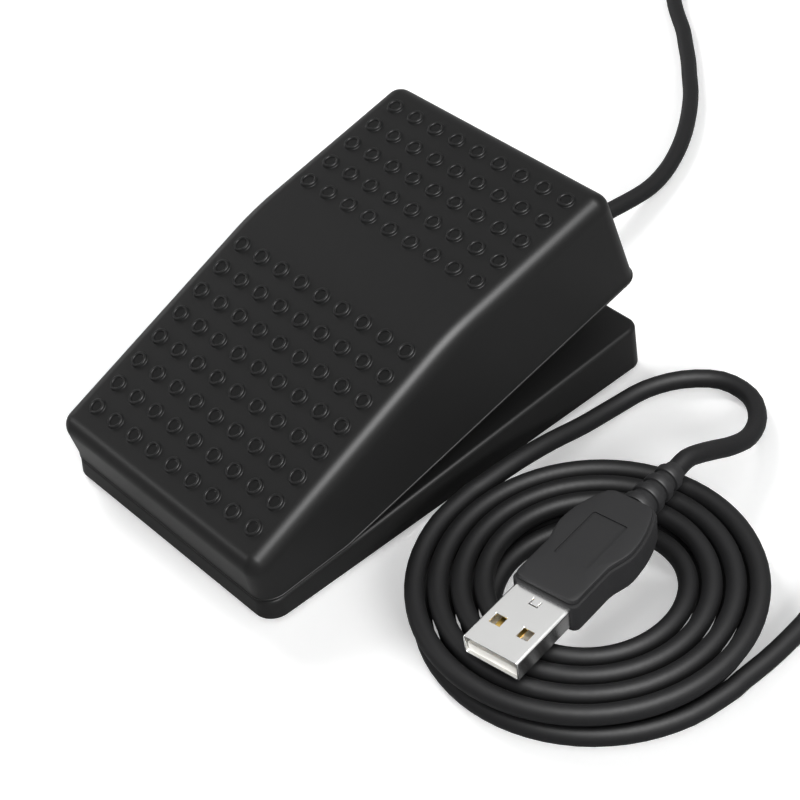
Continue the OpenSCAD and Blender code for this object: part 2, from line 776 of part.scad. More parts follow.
// Lever switch
module switch_case() color("#202124") {
    difference() {
        union() {
            translate([-switch_w / 2, switch_y - switch_l / 2, board_top])
                cube([switch_w, switch_l, switch_h]);
            for (side = [-1, 1])
                translate([side * (lever_w / 2 + lever_ear_t / 2 + side_play), pivot_y, switch_top])
                    translate([-lever_ear_t / 2, -pivot_in, -weld])
                    cube([lever_ear_t, 2 * pivot_in, pivot_rise + 2 * lever_pin_d / 2 + weld]);
        }
        translate([-switch_w / 2 - past, pivot_y, pivot_z]) rotate([0, 90, 0])
            cylinder(d = lever_pin_d + 2 * lever_pin_play, h = switch_w + 2 * past);
        translate([0, plunger_y, switch_top - plunger_depth - plunger_travel])
            cylinder(d = plunger_d + 2 * plunger_play, h = plunger_depth + plunger_travel + past);
    }
}

module switch_lever() color(steel) {
    pin_l = lever_w + 2 * side_play + 2 * lever_ear_t;
    translate([0, pivot_y, pivot_z]) {
        translate([-pin_l / 2, 0, 0]) rotate([0, 90, 0]) cylinder(d = lever_pin_d, h = pin_l);
        rotate([-lever_rest_a, 0, 0])
            translate([-lever_w / 2, -lever_l, -lever_t / 2]) cube([lever_w, lever_l, lever_t]);
    }
}

module switch_plunger() color("#b5482f") {
    translate([0, plunger_y, switch_top - plunger_depth])
        cylinder(d = plunger_d, h = plunger_top - switch_top + plunger_depth);
}

module switch_terminals() color("#c9a24a") {
    for (i = [-1:1])
        translate([0, switch_y + i * terminal_pitch, board_z - terminal_tail])
            cylinder(d = terminal_d, h = board_t + terminal_tail);
}

// Circuit board
module circuit_board() color(board_green) {
    hole_play = 0.2;
    difference() {
        translate([-board_w / 2, board_front, board_z]) cube([board_w, board_l, board_t]);
        for (i = [-1:1])
            translate([0, switch_y + i * terminal_pitch, board_z - past])
                cylinder(d = terminal_d + 2 * terminal_play, h = board_t + 2 * past);
        for (p = board_screw_places)
            translate([p[0], p[1], board_z - past])
                cylinder(d = board_screw_d + 2 * hole_play, h = board_t + 2 * past);
    }
}

module board_screws() color(steel) {
    for (p = board_screw_places) translate([p[0], p[1], board_z]) {
        cylinder(d = board_screw_d, h = board_screw_l);
        translate([0, 0, -board_screw_head_h]) cylinder(d = board_screw_head_d, h = board_screw_head_h);
    }
}

module controller_chip() color("#1a1a1c") {
    translate([chip_at[0], chip_at[1], board_top]) {
        translate([-chip[0] / 2, -chip[1] / 2, chip_lead[2]]) cube(chip - [0, 0, chip_lead[2]]);
        for (side = [-1, 1], i = [0:chip_leads - 1])
            translate([side * chip[0] / 2, (i - (chip_leads - 1) / 2) * chip_lead_pitch, 0])
                translate([-chip_lead[0] / 2, -chip_lead[1] / 2, 0])
                cube([chip_lead[0], chip_lead[1], 3 * chip_lead[2]]);
    }
}

module board_components() color("#8d8f93") {
    translate([crystal_at[0], crystal_at[1], board_top]) translate([-crystal[0] / 2, -crystal[1] / 2, 0])
        cube(crystal);
    for (p = small_part_at)
        translate([p[0] - small_part[0] / 2, p[1] - small_part[1] / 2, board_top]) cube(small_part);
}

// Cord outlet
module cord_wires() color("#b02a2a") {
    start_y = tail_y - tail_l;
    pad_in = 1.5;
    for (i = [0:3]) {
        from = [outlet_x + (i - 1.5) * wire_d, start_y, outlet_z];
        to = [outlet_x + (i - 1.5) * wire_pitch, board_rear - pad_in, board_top + wire_d / 2];
        tube([from, from + [0, -wire_d, 0], to + [0, wire_d, 0], to], wire_d, wire_sides);
    }
}

module cord_tail() color(black_rubber) {
    translate([outlet_x, tail_y - tail_l, outlet_z]) rotate([-90, 0, 0])
        cylinder(d = cord_d, h = tail_l);
}

module ribbed_sleeve(l, root_d, tip_d, ribs) {
    groove = 0.4;
    step = l / ribs;
    for (i = [0:ribs - 1]) {
        d = root_d + (tip_d - root_d) * i / ribs;
        translate([0, 0, i * step]) cylinder(d1 = d, d2 = d + (tip_d - root_d) / ribs / 2, h = step / 2);
    }
    cylinder(d1 = root_d - 2 * groove, d2 = tip_d - 2 * groove, h = l);
}

module cord_relief() color(black_rubber) {
    translate([outlet_x, tail_y, outlet_z]) rotate([-90, 0, 0]) {
        cylinder(d = relief_flange_d, h = relief_flange_t);
        cylinder(d = neck_d, h = relief_flange_t + base_wall + past);
        translate([0, 0, relief_flange_t + base_wall])
            ribbed_sleeve(relief_l, relief_root_d, relief_tip_d, relief_ribs);
    }
}

module cord_run() color(black_rubber) tube(run_path, cord_d, cord_sides);

module cord_coil() color(black_rubber) tube(coil_path, cord_d, coil_sides);

module plug_lead() color(black_rubber) tube(lead_path, cord_d, cord_sides);

// Plug
module plug_relief() color(black_rubber) {
    at_plug() translate([0, -grip_l / 2, 0]) rotate([90, 0, 0])
        ribbed_sleeve(plug_relief_l, plug_relief_d, plug_relief_tip_d, plug_relief_ribs);
}

module grip_outline(inset) {
    side = [
        for (i = [0:grip_points])
            let (s = i / grip_points)
            [grip_half_w(s) - inset, (grip_l / 2 - inset) * (1 - 2 * s)]
    ];
    polygon(concat(side, [for (i = [grip_points:-1:0]) [-side[i][0], side[i][1]]]));
}

module plug_grip() color(black_rubber) {
    plate_h = 1;
    at_plug() {
        translate([0, 0, plate_h - grip_h / 2]) linear_extrude(grip_h - 2 * plate_h) grip_outline(0);
        translate([0, 0, -grip_h / 2]) linear_extrude(grip_h) grip_outline(grip_step);
    }
}

module plug_shell() color("#d4d6d8") {
    at_plug() translate([0, grip_l / 2, 0]) difference() {
        translate([-shell_w / 2, 0, -shell_h / 2]) cube([shell_w, shell_l, shell_h]);
        translate([-shell_w / 2 + shell_t, -past, -shell_h / 2 + shell_t])
            cube([shell_w - 2 * shell_t, shell_l + 2 * past, shell_h - 2 * shell_t]);
        for (side = [-1, 1])
            translate([side * (window + window_gap) / 2 - window / 2, shell_l - window_in - window, -shell_h])
                cube([window, window, 2 * shell_h]);
        translate([-latch[0] / 2, latch_in, 0]) cube([latch[0], latch[1], shell_h]);
    }
}

module plug_tongue() color("#ececec") {
    at_plug() translate([-tongue_w / 2, grip_l / 2, -shell_h / 2 + shell_t])
        cube([tongue_w, shell_l - tongue_short, tongue_h]);
}

module plug_contacts() color("#c9a24a") {
    back = 2;
    places = [-contact_mid_pitch / 2 - contact_pitch, -contact_mid_pitch / 2,
              contact_mid_pitch / 2, contact_mid_pitch / 2 + contact_pitch];
    at_plug() for (x = places)
        translate([x - contact_w / 2, grip_l / 2 + back, -shell_h / 2 + shell_t + tongue_h])
            cube([contact_w, shell_l - tongue_short - 2 * back, contact_t]);
}

base_housing();
bottom_plate();
bottom_screws();
rubber_feet();
pedal_cover();
hinge_pin();
pin_clips();
return_spring();
switch_case();
switch_lever();
switch_plunger();
switch_terminals();
circuit_board();
controller_chip();
board_components();
board_screws();
cord_wires();
cord_tail();
cord_relief();
cord_run();
cord_coil();
plug_lead();
plug_relief();
plug_grip();
plug_shell();
plug_tongue();
plug_contacts();
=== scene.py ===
"""Looks of a USB foot pedal switch, built around its construction model.

The packed model is the frame. Moulded, wound and pressed pieces are made here as finer meshes that
stand for their plain solids, and every other solid gets the finish of its real material.
Lengths are in metres, in the model's own frame.
"""

import json
import math
from types import SimpleNamespace

import bmesh
import bpy
from mathutils import Matrix, Vector
from mathutils.geometry import delaunay_2d_cdt

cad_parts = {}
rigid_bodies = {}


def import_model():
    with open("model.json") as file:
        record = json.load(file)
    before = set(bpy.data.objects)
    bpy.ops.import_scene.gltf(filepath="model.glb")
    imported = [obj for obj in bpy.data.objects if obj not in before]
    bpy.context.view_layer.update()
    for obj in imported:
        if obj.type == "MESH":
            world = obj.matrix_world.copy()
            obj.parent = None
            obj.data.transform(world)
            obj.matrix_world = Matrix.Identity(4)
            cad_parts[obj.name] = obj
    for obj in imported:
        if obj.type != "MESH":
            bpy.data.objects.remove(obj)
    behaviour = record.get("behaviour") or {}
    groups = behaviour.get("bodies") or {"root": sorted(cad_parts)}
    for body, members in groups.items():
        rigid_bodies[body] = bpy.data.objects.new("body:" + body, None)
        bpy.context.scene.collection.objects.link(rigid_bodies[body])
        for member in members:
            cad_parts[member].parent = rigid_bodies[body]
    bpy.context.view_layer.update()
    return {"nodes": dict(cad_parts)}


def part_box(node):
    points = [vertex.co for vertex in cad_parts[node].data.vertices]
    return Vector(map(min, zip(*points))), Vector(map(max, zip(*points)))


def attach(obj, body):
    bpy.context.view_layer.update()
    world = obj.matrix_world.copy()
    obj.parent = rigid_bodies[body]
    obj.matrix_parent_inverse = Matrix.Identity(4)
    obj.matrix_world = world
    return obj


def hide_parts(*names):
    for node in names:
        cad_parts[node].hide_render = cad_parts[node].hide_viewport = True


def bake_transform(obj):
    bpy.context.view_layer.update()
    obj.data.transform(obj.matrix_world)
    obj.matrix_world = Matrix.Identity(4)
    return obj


bl_info = {
    "name": "Foot pedal switch",
    "version": (1, 0, 0),
    "blender": (4, 5, 0),
    "location": "View3D > Sidebar > Foot pedal",
    "description": "Builds the tread cover, base, cord, plug and stage of a USB foot pedal switch",
    "category": "Object",
}

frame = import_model()
MM = 0.001
UP = Vector((0, 0, 1))
WELD = 0.001 * MM
SHARP_EDGE = math.radians(40)


def linear(hex_colour):
    """A linear RGBA colour from an sRGB hex value."""
    shares = [int(hex_colour[i : i + 2], 16) / 255 for i in (1, 3, 5)]
    return tuple(s / 12.92 if s <= 0.04045 else ((s + 0.055) / 1.055) ** 2.4 for s in shares) + (1.0,)


def length(name, description, millimetres):
    """A length property with its default in millimetres."""
    return bpy.props.FloatProperty(
        name=name, description=description, default=millimetres * MM, unit="LENGTH", precision=4
    )


def angle(name, description, degrees):
    """An angle property with its default in degrees."""
    return bpy.props.FloatProperty(
        name=name, description=description, default=math.radians(degrees), subtype="ANGLE"
    )


def colour(name, description, hex_colour):
    """A colour property with its default as an sRGB hex value."""
    return bpy.props.FloatVectorProperty(
        name=name, description=description, default=linear(hex_colour), size=4, min=0, max=1,
        subtype="COLOR",
    )


class FootPedalBase(bpy.types.PropertyGroup):
    """Sizes of the base"""

    width: length("Width", "Width of the base at its foot", 63.8)
    long: length("Length", "Length of the base at its foot", 100.2)
    front_height: length("Front height", "Height of the base at its front wall", 4.2)
    rear_height: length("Rear height", "Height of the base at its rear wall", 10.1)
    corner: length("Corner radius", "Corner radius of the base in plan", 3.5)
    front_corner: length("Front corners", "Corner radius of the base's outside at its front", 4.2)
    draft: length("Draft", "How far the deck's edge stands in from the foot", 0.3)
    edge: length("Deck edge", "Rounding of the deck's edge", 1.0)
    wall: length("Wall", "Thickness of the base's walls", 2.0)
    deck: length("Deck", "Thickness of the deck", 1.8)
    foot: length("Foot height", "How far the rubber feet stand below the base", 1.0)
    hinge_setback: length("Hinge setback", "Distance of the hinge from the front", 20.4)
    hinge_rise: length("Hinge rise", "Height of the hinge over the deck", 4.2)
    pin: length("Hinge pin", "Diameter of the hinge pin", 3.0)
    knuckle_wall: length("Knuckle wall", "Wall round the hinge bores", 1.7)
    ear_at: length("Ear place", "Distance of the base's ears from the middle", 14.0)
    ear: length("Ear width", "Width of an ear or lug", 4.0)


class FootPedalCover(bpy.types.PropertyGroup):
    """Sizes of the tread cover"""

    setback: length("Setback", "How far the skirt stands in from the ends of the base", 0.3)
    side_in: length("Side inset", "How far the skirt stands in from each side of the base", 0.4)
    slope: angle("Slope", "Slope of the skirt at rest", 10.3)
    front_gap: length("Front gap", "Gap under the front edge of the skirt", 0.4)
    kink_at: length("Skirt bend", "Distance of the bend in the skirt's lower edge from its front", 20.0)
    kink_drop: length("Skirt dip", "How far the skirt's lower edge dips at that bend", 2.4)
    front_height: length("Front height", "Height of the tread over the skirt at the front", 10.2)
    bend_height: length("Bend height", "Height of the tread over the skirt at the bend", 22.6)
    rear_height: length("Rear height", "Height of the tread over the skirt at the rear", 23.9)
    bend_at: length("Bend place", "Distance of the bend from the front edge of the skirt", 56.7)
    bend_radius: length("Bend radius", "Radius of the bend between the treads", 60.0)
    edge: length("Tread edge", "Rounding of the tread's edges", 3.5)
    corner: length("Skirt corner", "Corner radius of the skirt in plan", 3.5)
    front_corner: length("Front skirt corners", "Corner radius of the skirt at its front", 4.4)
    draft: angle("Side draft", "Draft of the cover's sides", 1.0)
    front_lean: length("Front lean", "How far the top of the front wall leans in", 0.1)
    rear_lean: length("Rear lean", "How far the top of the rear wall leans in", 1.5)
    wall: length("Wall", "Wall thickness of the cover", 2.2)
    rim: length("Rim rounding", "Rounding of the skirt's lower edge", 0.25)
    lip: length("Skirt lip", "How far the skirt's lower edge stands out", 0.26)
    cove: length("Skirt cove", "Height of the hollow by which the wall runs out to the lip", 2.5)
    stud_pitch: length("Stud pitch", "Spacing of the studs both ways", 6.2)
    stud: length("Stud", "Diameter of a stud at its foot", 3.7)
    stud_height: length("Stud height", "Height of a stud", 0.6)
    stud_front: length("Front studs", "Distance from the bend to the first front row", 7.6)
    stud_rear: length("Rear studs", "Distance from the bend to the first rear row", 11.7)
    stud_columns: bpy.props.IntProperty(
        name="Columns", description="Columns of studs on each side of the middle one", default=4
    )
    front_rows: bpy.props.IntProperty(name="Front rows", description="Rows of front studs", default=8)
    rear_rows: bpy.props.IntProperty(name="Rear rows", description="Rows of rear studs", default=5)


class FootPedalCord(bpy.types.PropertyGroup):
    """Sizes of the cord and its plug"""

    thick: length("Cord", "Diameter of the cord", 3.8)
    outlet_x: length("Outlet place", "Place of the cord outlet across the rear wall", -5.0)
    outlet_z: length("Outlet height", "Height of the cord outlet over the floor", 5.9)
    relief: length("Strain relief", "Length of the strain relief outside the rear wall", 14.0)
    coil_radius: length("Coil radius", "Radius of the coil's outer turn", 33.0)
    coil_step: length("Coil step", "Step from one turn to the next", 4.3)
    coil_turns: bpy.props.FloatProperty(name="Turns", description="Turns of the coil", default=7.5)
    plug_turn: angle("Plug turn", "Direction of the plug on the coil", 188.5)
    grip: length("Grip length", "Length of the plug's grip", 28.0)
    grip_height: length("Grip height", "Thickness of the plug's grip", 8.0)
    shell_width: length("Shell width", "Width of the plug's shell", 12.0)
    shell_height: length("Shell height", "Thickness of the plug's shell", 4.5)
    shell: length("Shell length", "Length of the shell outside the grip", 15.0)
    boot: length("Boot length", "Length of the ribbed boot behind the grip", 13.0)


class FootPedalFinish(bpy.types.PropertyGroup):
    """Colours of the finishes"""

    abs_black: colour("ABS", "Moulded black ABS of cover and base", "#1f1f1f")
    cord_black: colour("Cord", "Black jacket of the cord", "#171718")
    grip_black: colour("Grip", "Black moulding of the plug's grip", "#262627")
    nickel: colour("Nickel", "Plated shell of the plug", "#cbcbca")
    zinc: colour("Zinc", "Plated screws, pin and clips", "#b9bcc0")
    board_green: colour("Board", "Solder mask of the circuit board", "#1d5a39")


SIZES = {
    "foot_pedal_base": FootPedalBase,
    "foot_pedal_cover": FootPedalCover,
    "foot_pedal_cord": FootPedalCord,
    "foot_pedal_finish": FootPedalFinish,
}

# Points that the cord passes, in millimetres: from the base to the coil, and from the coil to the plug.
RUN_MM = [
    (-5, 70, 5.7), (-5.5, 78, 4.9), (-6, 86, 3.6), (-7, 93, 2.5), (-9, 100, 2), (-12, 107, 2),
    (-16, 114, 2), (-21, 121, 2), (-26, 127, 2), (-31, 132, 2), (-36, 137, 2), (-41, 141.5, 2),
    (-46, 146, 2), (-52, 150.5, 2), (-58, 155.5, 2), (-66, 164, 2), (-72, 174, 2), (-75, 185, 2),
    (-73, 196, 2), (-67, 205, 2), (-58, 211, 2), (-47, 212, 2), (-36, 208, 2), (-26, 200, 2),
    (-16, 189, 2), (-6, 177, 2), (4, 165, 2), (14, 152, 2), (24, 139, 2), (34, 126, 2),
    (44, 113, 2), (54, 100, 2), (64, 87, 2), (74, 74, 2), (83, 61, 2), (91, 48, 2),
    (98, 34, 2), (102.5, 20, 2), (104, 8, 2),
]
LEAD_MM = [
    (38, 8, 6.1), (38, 17, 5), (38, 26, 3.2), (38, 35, 2.1), (39, 43, 2), (42.5, 50, 2),
    (48.5, 55, 2), (56, 55, 2.2), (62, 50.5, 3), (65.6, 44, 4.8), (66.6, 38, 7.2),
    (66.6, 33, 9.6), (66.5, 29, 11.4),
]

# The coil's middle, the height of a cord's middle line over the floor, and the gap between two layers.
COIL_AT = Vector((71, -5, 0)) * MM
CORD_LIE = 2 * MM
LAYER_GAP = 0.5 * MM

# The return spring and its seats in base and cover, each with a spigot inside the spring.
SPRING_Y = 14 * MM
SPRING_TALL = 20 * MM
SEAT = 8 * MM
SEAT_RISE = 1.2 * MM
SPIGOT = 5.05 * MM
SPIGOT_TALL = 3 * MM
SPIGOT_TAPER = 0.6 * MM

# A stud from its root over its crest into its dimple, which begins at the point DIMPLE. Each point has
# millimetres out of the stud's radius and a share of its height.
STUD_PROFILE = [
    (0.1, 0), (0.02, 0.03), (-0.04, 0.13), (-0.13, 0.7), (-0.17, 0.84), (-0.24, 0.93), (-0.33, 0.985),
    (-0.42, 1), (-0.51, 0.985), (-0.6, 0.93), (-0.67, 0.84), (-0.71, 0.7), (-0.78, 0.5), (-0.86, 0.46),
]
DIMPLE = 10

# Signs of a plan's four corners, and the angle in degrees at which each begins.
CORNERS = ((1, 1, 0), (-1, 1, 90), (-1, -1, 180), (1, -1, 270))


def arc(radius, start, end, steps, centre=(0, 0)):
    """Points of an arc between two angles in degrees."""
    turns = [math.radians(start + (end - start) * i / steps) for i in range(steps + 1)]
    return [(centre[0] + radius * math.cos(a), centre[1] + radius * math.sin(a)) for a in turns]


def circle(radius, steps=32, centre=(0, 0), start=0):
    """Points of a full circle from an angle in degrees."""
    return arc(radius, start, start + 360, steps, centre)[:-1]


def round_rect(wide, tall, radius, steps=6):
    """Points of a rectangle with round corners, about the origin."""
    out = []
    for x, y, start in CORNERS:
        out += arc(radius, start, start + 90, steps, (x * (wide / 2 - radius), y * (tall / 2 - radius)))
    return out


def flowing(points, steps):
    """Points of a smooth curve through the given ones, with steps pieces between each pair."""
    line = [2 * points[0] - points[1], *points, 2 * points[-1] - points[-2]]
    out = []
    for a, b, c, d in zip(line, line[1:], line[2:], line[3:]):
        for t in (i / steps for i in range(steps)):
            out.append(
                0.5 * (2 * b + (c - a) * t + (2 * a - 5 * b + 4 * c - d) * t * t
                       + (3 * b - a - 3 * c + d) * t ** 3)
            )
    return out + [points[-1]]


def smooth_step(t):
    """Eases from 0 to 1 as t does, and stays there on both sides."""
    t = min(1.0, max(0.0, t))
    return t * t * (3 - 2 * t)


def bridge(bm, low, high, closed=True):
    """Joins two rows of vertices with quads."""
    count = len(low)
    for i in range(count if closed else count - 1):
        j = (i + 1) % count
        bm.faces.new((low[i], low[j], high[j], high[i]))


def rings(bm, loops, closed=True):
    """Joins loops of points of equal length with quads and returns their vertices."""
    rows = [[bm.verts.new(p) for p in loop] for loop in loops]
    for low, high in zip(rows, rows[1:]):
        bridge(bm, low, high, closed)
    return rows


def solid(bm, loops):
    """Joins loops of points and closes both ends."""
    rows = rings(bm, loops)
    bm.faces.new(rows[0])
    bm.faces.new(rows[-1])


def fill(bm, outline, holes, place):
    """Fills a flat outline with triangles, leaving the holes open. Points are pairs, and place makes
    a pair a point in space."""
    points, loops = [], []
    for loop in [outline, *holes]:
        loops.append(list(range(len(points), len(points) + len(loop))))
        corners = [Vector(p) / MM for p in loop]
        turn = sum(a.cross(b) for a, b in zip(corners, corners[1:] + corners[:1]))
        points += corners if turn > 0 else reversed(corners)
    keep_inside, tolerance = 1, 1e-6
    made, _, faces, _, _, inside = delaunay_2d_cdt(points, [], loops, keep_inside, tolerance)
    verts = [bm.verts.new(place(p * MM)) for p in made]
    for face, owners in zip(faces, inside):
        if list(owners) == [0]:
            bm.faces.new([verts[i] for i in face])


def slab(bm, outline, holes, low, high, place=Matrix.Identity(4)):
    """A plate with holes, whose outline is in the YZ plane, between two places along X."""
    for x in (low, high):
        fill(bm, outline, holes, lambda p: place @ Vector((x, *p)))
    for loop in [outline, *holes]:
        rings(bm, [[place @ Vector((x, *p)) for p in loop] for x in (low, high)])


def turned(profile, matrix, steps):
    """Loops of points round the matrix's Z axis, from pairs of radius and height."""
    return [[matrix @ Vector((x, y, height)) for x, y in circle(r, steps)] for r, height in profile]


def lathe(bm, profile, matrix, steps=32):
    """Turns pairs of radius and height about the matrix's Z axis, with closed ends."""
    solid(bm, turned(profile, matrix, steps))


def tube(bm, path, thick, sides):
    """A round tube along points, with its ends closed."""
    section = circle(thick / 2, sides, start=180 / sides)
    behind, ahead = path[:1] + path[:-1], path[1:] + path[-1:]
    headings = [(b - a).normalized() for a, b in zip(behind, ahead)]
    side = UP.cross(headings[0]).normalized()
    loops = []
    for point, heading in zip(path, headings):
        side = (side - heading * side.dot(heading)).normalized()
        over = heading.cross(side)
        loops.append([point + side * x + over * y for x, y in section])
    solid(bm, loops)


def paint(bm, before, index):
    """Gives a material of the piece to all faces but those that were there before."""
    bm.faces.ensure_lookup_table()
    for face in bm.faces[before:]:
        face.material_index = index


def mesh_of(name, bm):
    """A mesh with what was built."""
    mesh = bpy.data.meshes.new(name)
    bm.to_mesh(mesh)
    bm.free()
    return mesh


def add_object(name, data):
    """A new object in the scene."""
    obj = bpy.data.objects.new(name, data)
    bpy.context.scene.collection.objects.link(obj)
    return obj


def piece(name, bm, body, nodes, materials, weld=False):
    """Makes an object of a mesh, gives it its finishes, and lets it stand for solids and ride a body.
    With no body it is left unattached."""
    if weld:
        bmesh.ops.remove_doubles(bm, verts=bm.verts, dist=WELD)
        bmesh.ops.dissolve_degenerate(bm, edges=bm.edges, dist=WELD / 10)
    bmesh.ops.recalc_face_normals(bm, faces=bm.faces)
    mesh = mesh_of(name, bm)
    mesh.shade_smooth()
    mesh.set_sharp_from_angle(angle=SHARP_EDGE)
    for material in materials:
        mesh.materials.append(finishes()[material])
    obj = add_object(name, mesh)
    even = obj.modifiers.new("Even normals", "WEIGHTED_NORMAL")
    even.keep_sharp = True
    if body:
        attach(obj, body)
    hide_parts(*nodes)
    return obj


# Layout


def base_layout():
    """Places on the base that other pieces are set against."""
    b = bpy.context.scene.foot_pedal_base
    rise = (b.rear_height - b.front_height) / b.long

    def deck_z(y):
        return b.foot + b.front_height + (y + b.long / 2) * rise

    hinge_y = b.hinge_setback - b.long / 2
    seat_z = deck_z(SPRING_Y) + SEAT_RISE
    return SimpleNamespace(
        deck_z=deck_z,
        deck_a=math.atan(rise),
        hinge=Vector((0, hinge_y, deck_z(hinge_y) + b.hinge_rise)),
        knuckle=b.pin / 2 + b.knuckle_wall,
        seat_z=seat_z,
        spring_top=seat_z + SPRING_TALL,
    )


def cover_layout():
    """The tread cover's own frame, with its origin at the middle of the skirt's front edge."""
    b, c = bpy.context.scene.foot_pedal_base, bpy.context.scene.foot_pedal_cover
    long = (b.long - 2 * c.setback) / math.cos(c.slope)
    front_a = math.atan((c.bend_height - c.front_height) / c.bend_at)
    rear_a = math.atan((c.rear_height - c.bend_height) / (long - c.bend_at))
    start = c.setback - b.long / 2
    front_z = base_layout().deck_z(start) + c.front_gap
    place = Matrix.Translation((0, start, front_z)) @ Matrix.Rotation(c.slope, 4, "X")
    inverse = place.inverted()

    def tread(u):
        slope = front_a if u < c.bend_at else rear_a
        return c.bend_height + (u - c.bend_at) * math.tan(slope)

    def wall_z(x, y):
        """Height of the middle of the tread's wall over a point of the floor, found step by step."""
        rounds = 8
        z = c.rear_height
        for _ in range(rounds):
            p = inverse @ Vector((x, y, z))
            z += tread(p.y) - c.wall / 2 - p.z
        return z

    return SimpleNamespace(
        long=long, wide=b.width - 2 * c.side_in, front_a=front_a, rear_a=rear_a, place=place, tread=tread,
        wall_z=wall_z,
    )


def plug_layout():
    """The plug's own frame on top of the coil: middle of the grip, shell towards +Y."""
    c = bpy.context.scene.foot_pedal_cord
    clear = 0.3 * MM
    rise = CORD_LIE + c.thick + LAYER_GAP + c.thick / 2 + clear + c.grip_height / 2
    return Matrix.Translation(COIL_AT + UP * rise) @ Matrix.Rotation(c.plug_turn, 4, "Z")


# Finishes


def add_node(tree, kind, values=(), links=()):
    """Adds a node, sets its attributes and inputs from values, and links inputs to given outputs."""
    node = tree.nodes.new(kind)
    for key, value in dict(values).items():
        if isinstance(key, int) or key in node.inputs:
            node.inputs[key].default_value = value
        else:
            setattr(node, key, value)
    for key, output in dict(links).items():
        tree.links.new(output, node.inputs[key])
    return node


def empty_tree(owner):
    """The node tree of a material or world, with nothing in it."""
    owner.use_nodes = True
    owner.node_tree.nodes.clear()
    return owner.node_tree


def finish_material(name, colours, roughness, grain, relief, level=0.5, **shader):
    """A procedural finish: from one colour to the other over soft patches, roughness between two values
    over the grain, and a bump of that grain. grain and relief are in millimetres."""
    tree = empty_tree(bpy.data.materials.new(name))
    place = {"Vector": add_node(tree, "ShaderNodeTexCoord").outputs["Object"]}
    patch = 40 * grain
    patches = add_node(tree, "ShaderNodeTexNoise", {"Scale": 1 / (patch * MM), "Detail": 3.0}, place)
    fine = add_node(tree, "ShaderNodeTexNoise", {"Scale": 1 / (grain * MM), "Detail": 2.0}, place)
    # The colours of a Mix node are its inputs 6 and 7 and its output 2.
    tint = add_node(
        tree, "ShaderNodeMix", {"data_type": "RGBA", 6: colours[0], 7: colours[1]},
        {0: patches.outputs["Fac"]},
    )
    rough = add_node(
        tree, "ShaderNodeMapRange", {"To Min": roughness[0], "To Max": roughness[1]},
        {"Value": fine.outputs["Fac"]},
    )
    bump = add_node(tree, "ShaderNodeBump", {"Distance": relief * MM}, {"Height": fine.outputs["Fac"]})
    surface = add_node(
        tree, "ShaderNodeBsdfPrincipled", {"Specular IOR Level": level, **shader},
        {"Base Color": tint.outputs[2], "Roughness": rough.outputs["Result"],
         "Normal": bump.outputs["Normal"]},
    )
    add_node(tree, "ShaderNodeOutputMaterial", (), {"Surface": surface.outputs["BSDF"]})


def tones(rgba, *shares):
    """The colour made darker or lighter by each share."""
    return [tuple(c * share for c in rgba[:3]) + (1.0,) for share in shares]


def hexes(*hex_colours):
    """Linear colours from sRGB hex values."""
    return [linear(h) for h in hex_colours]


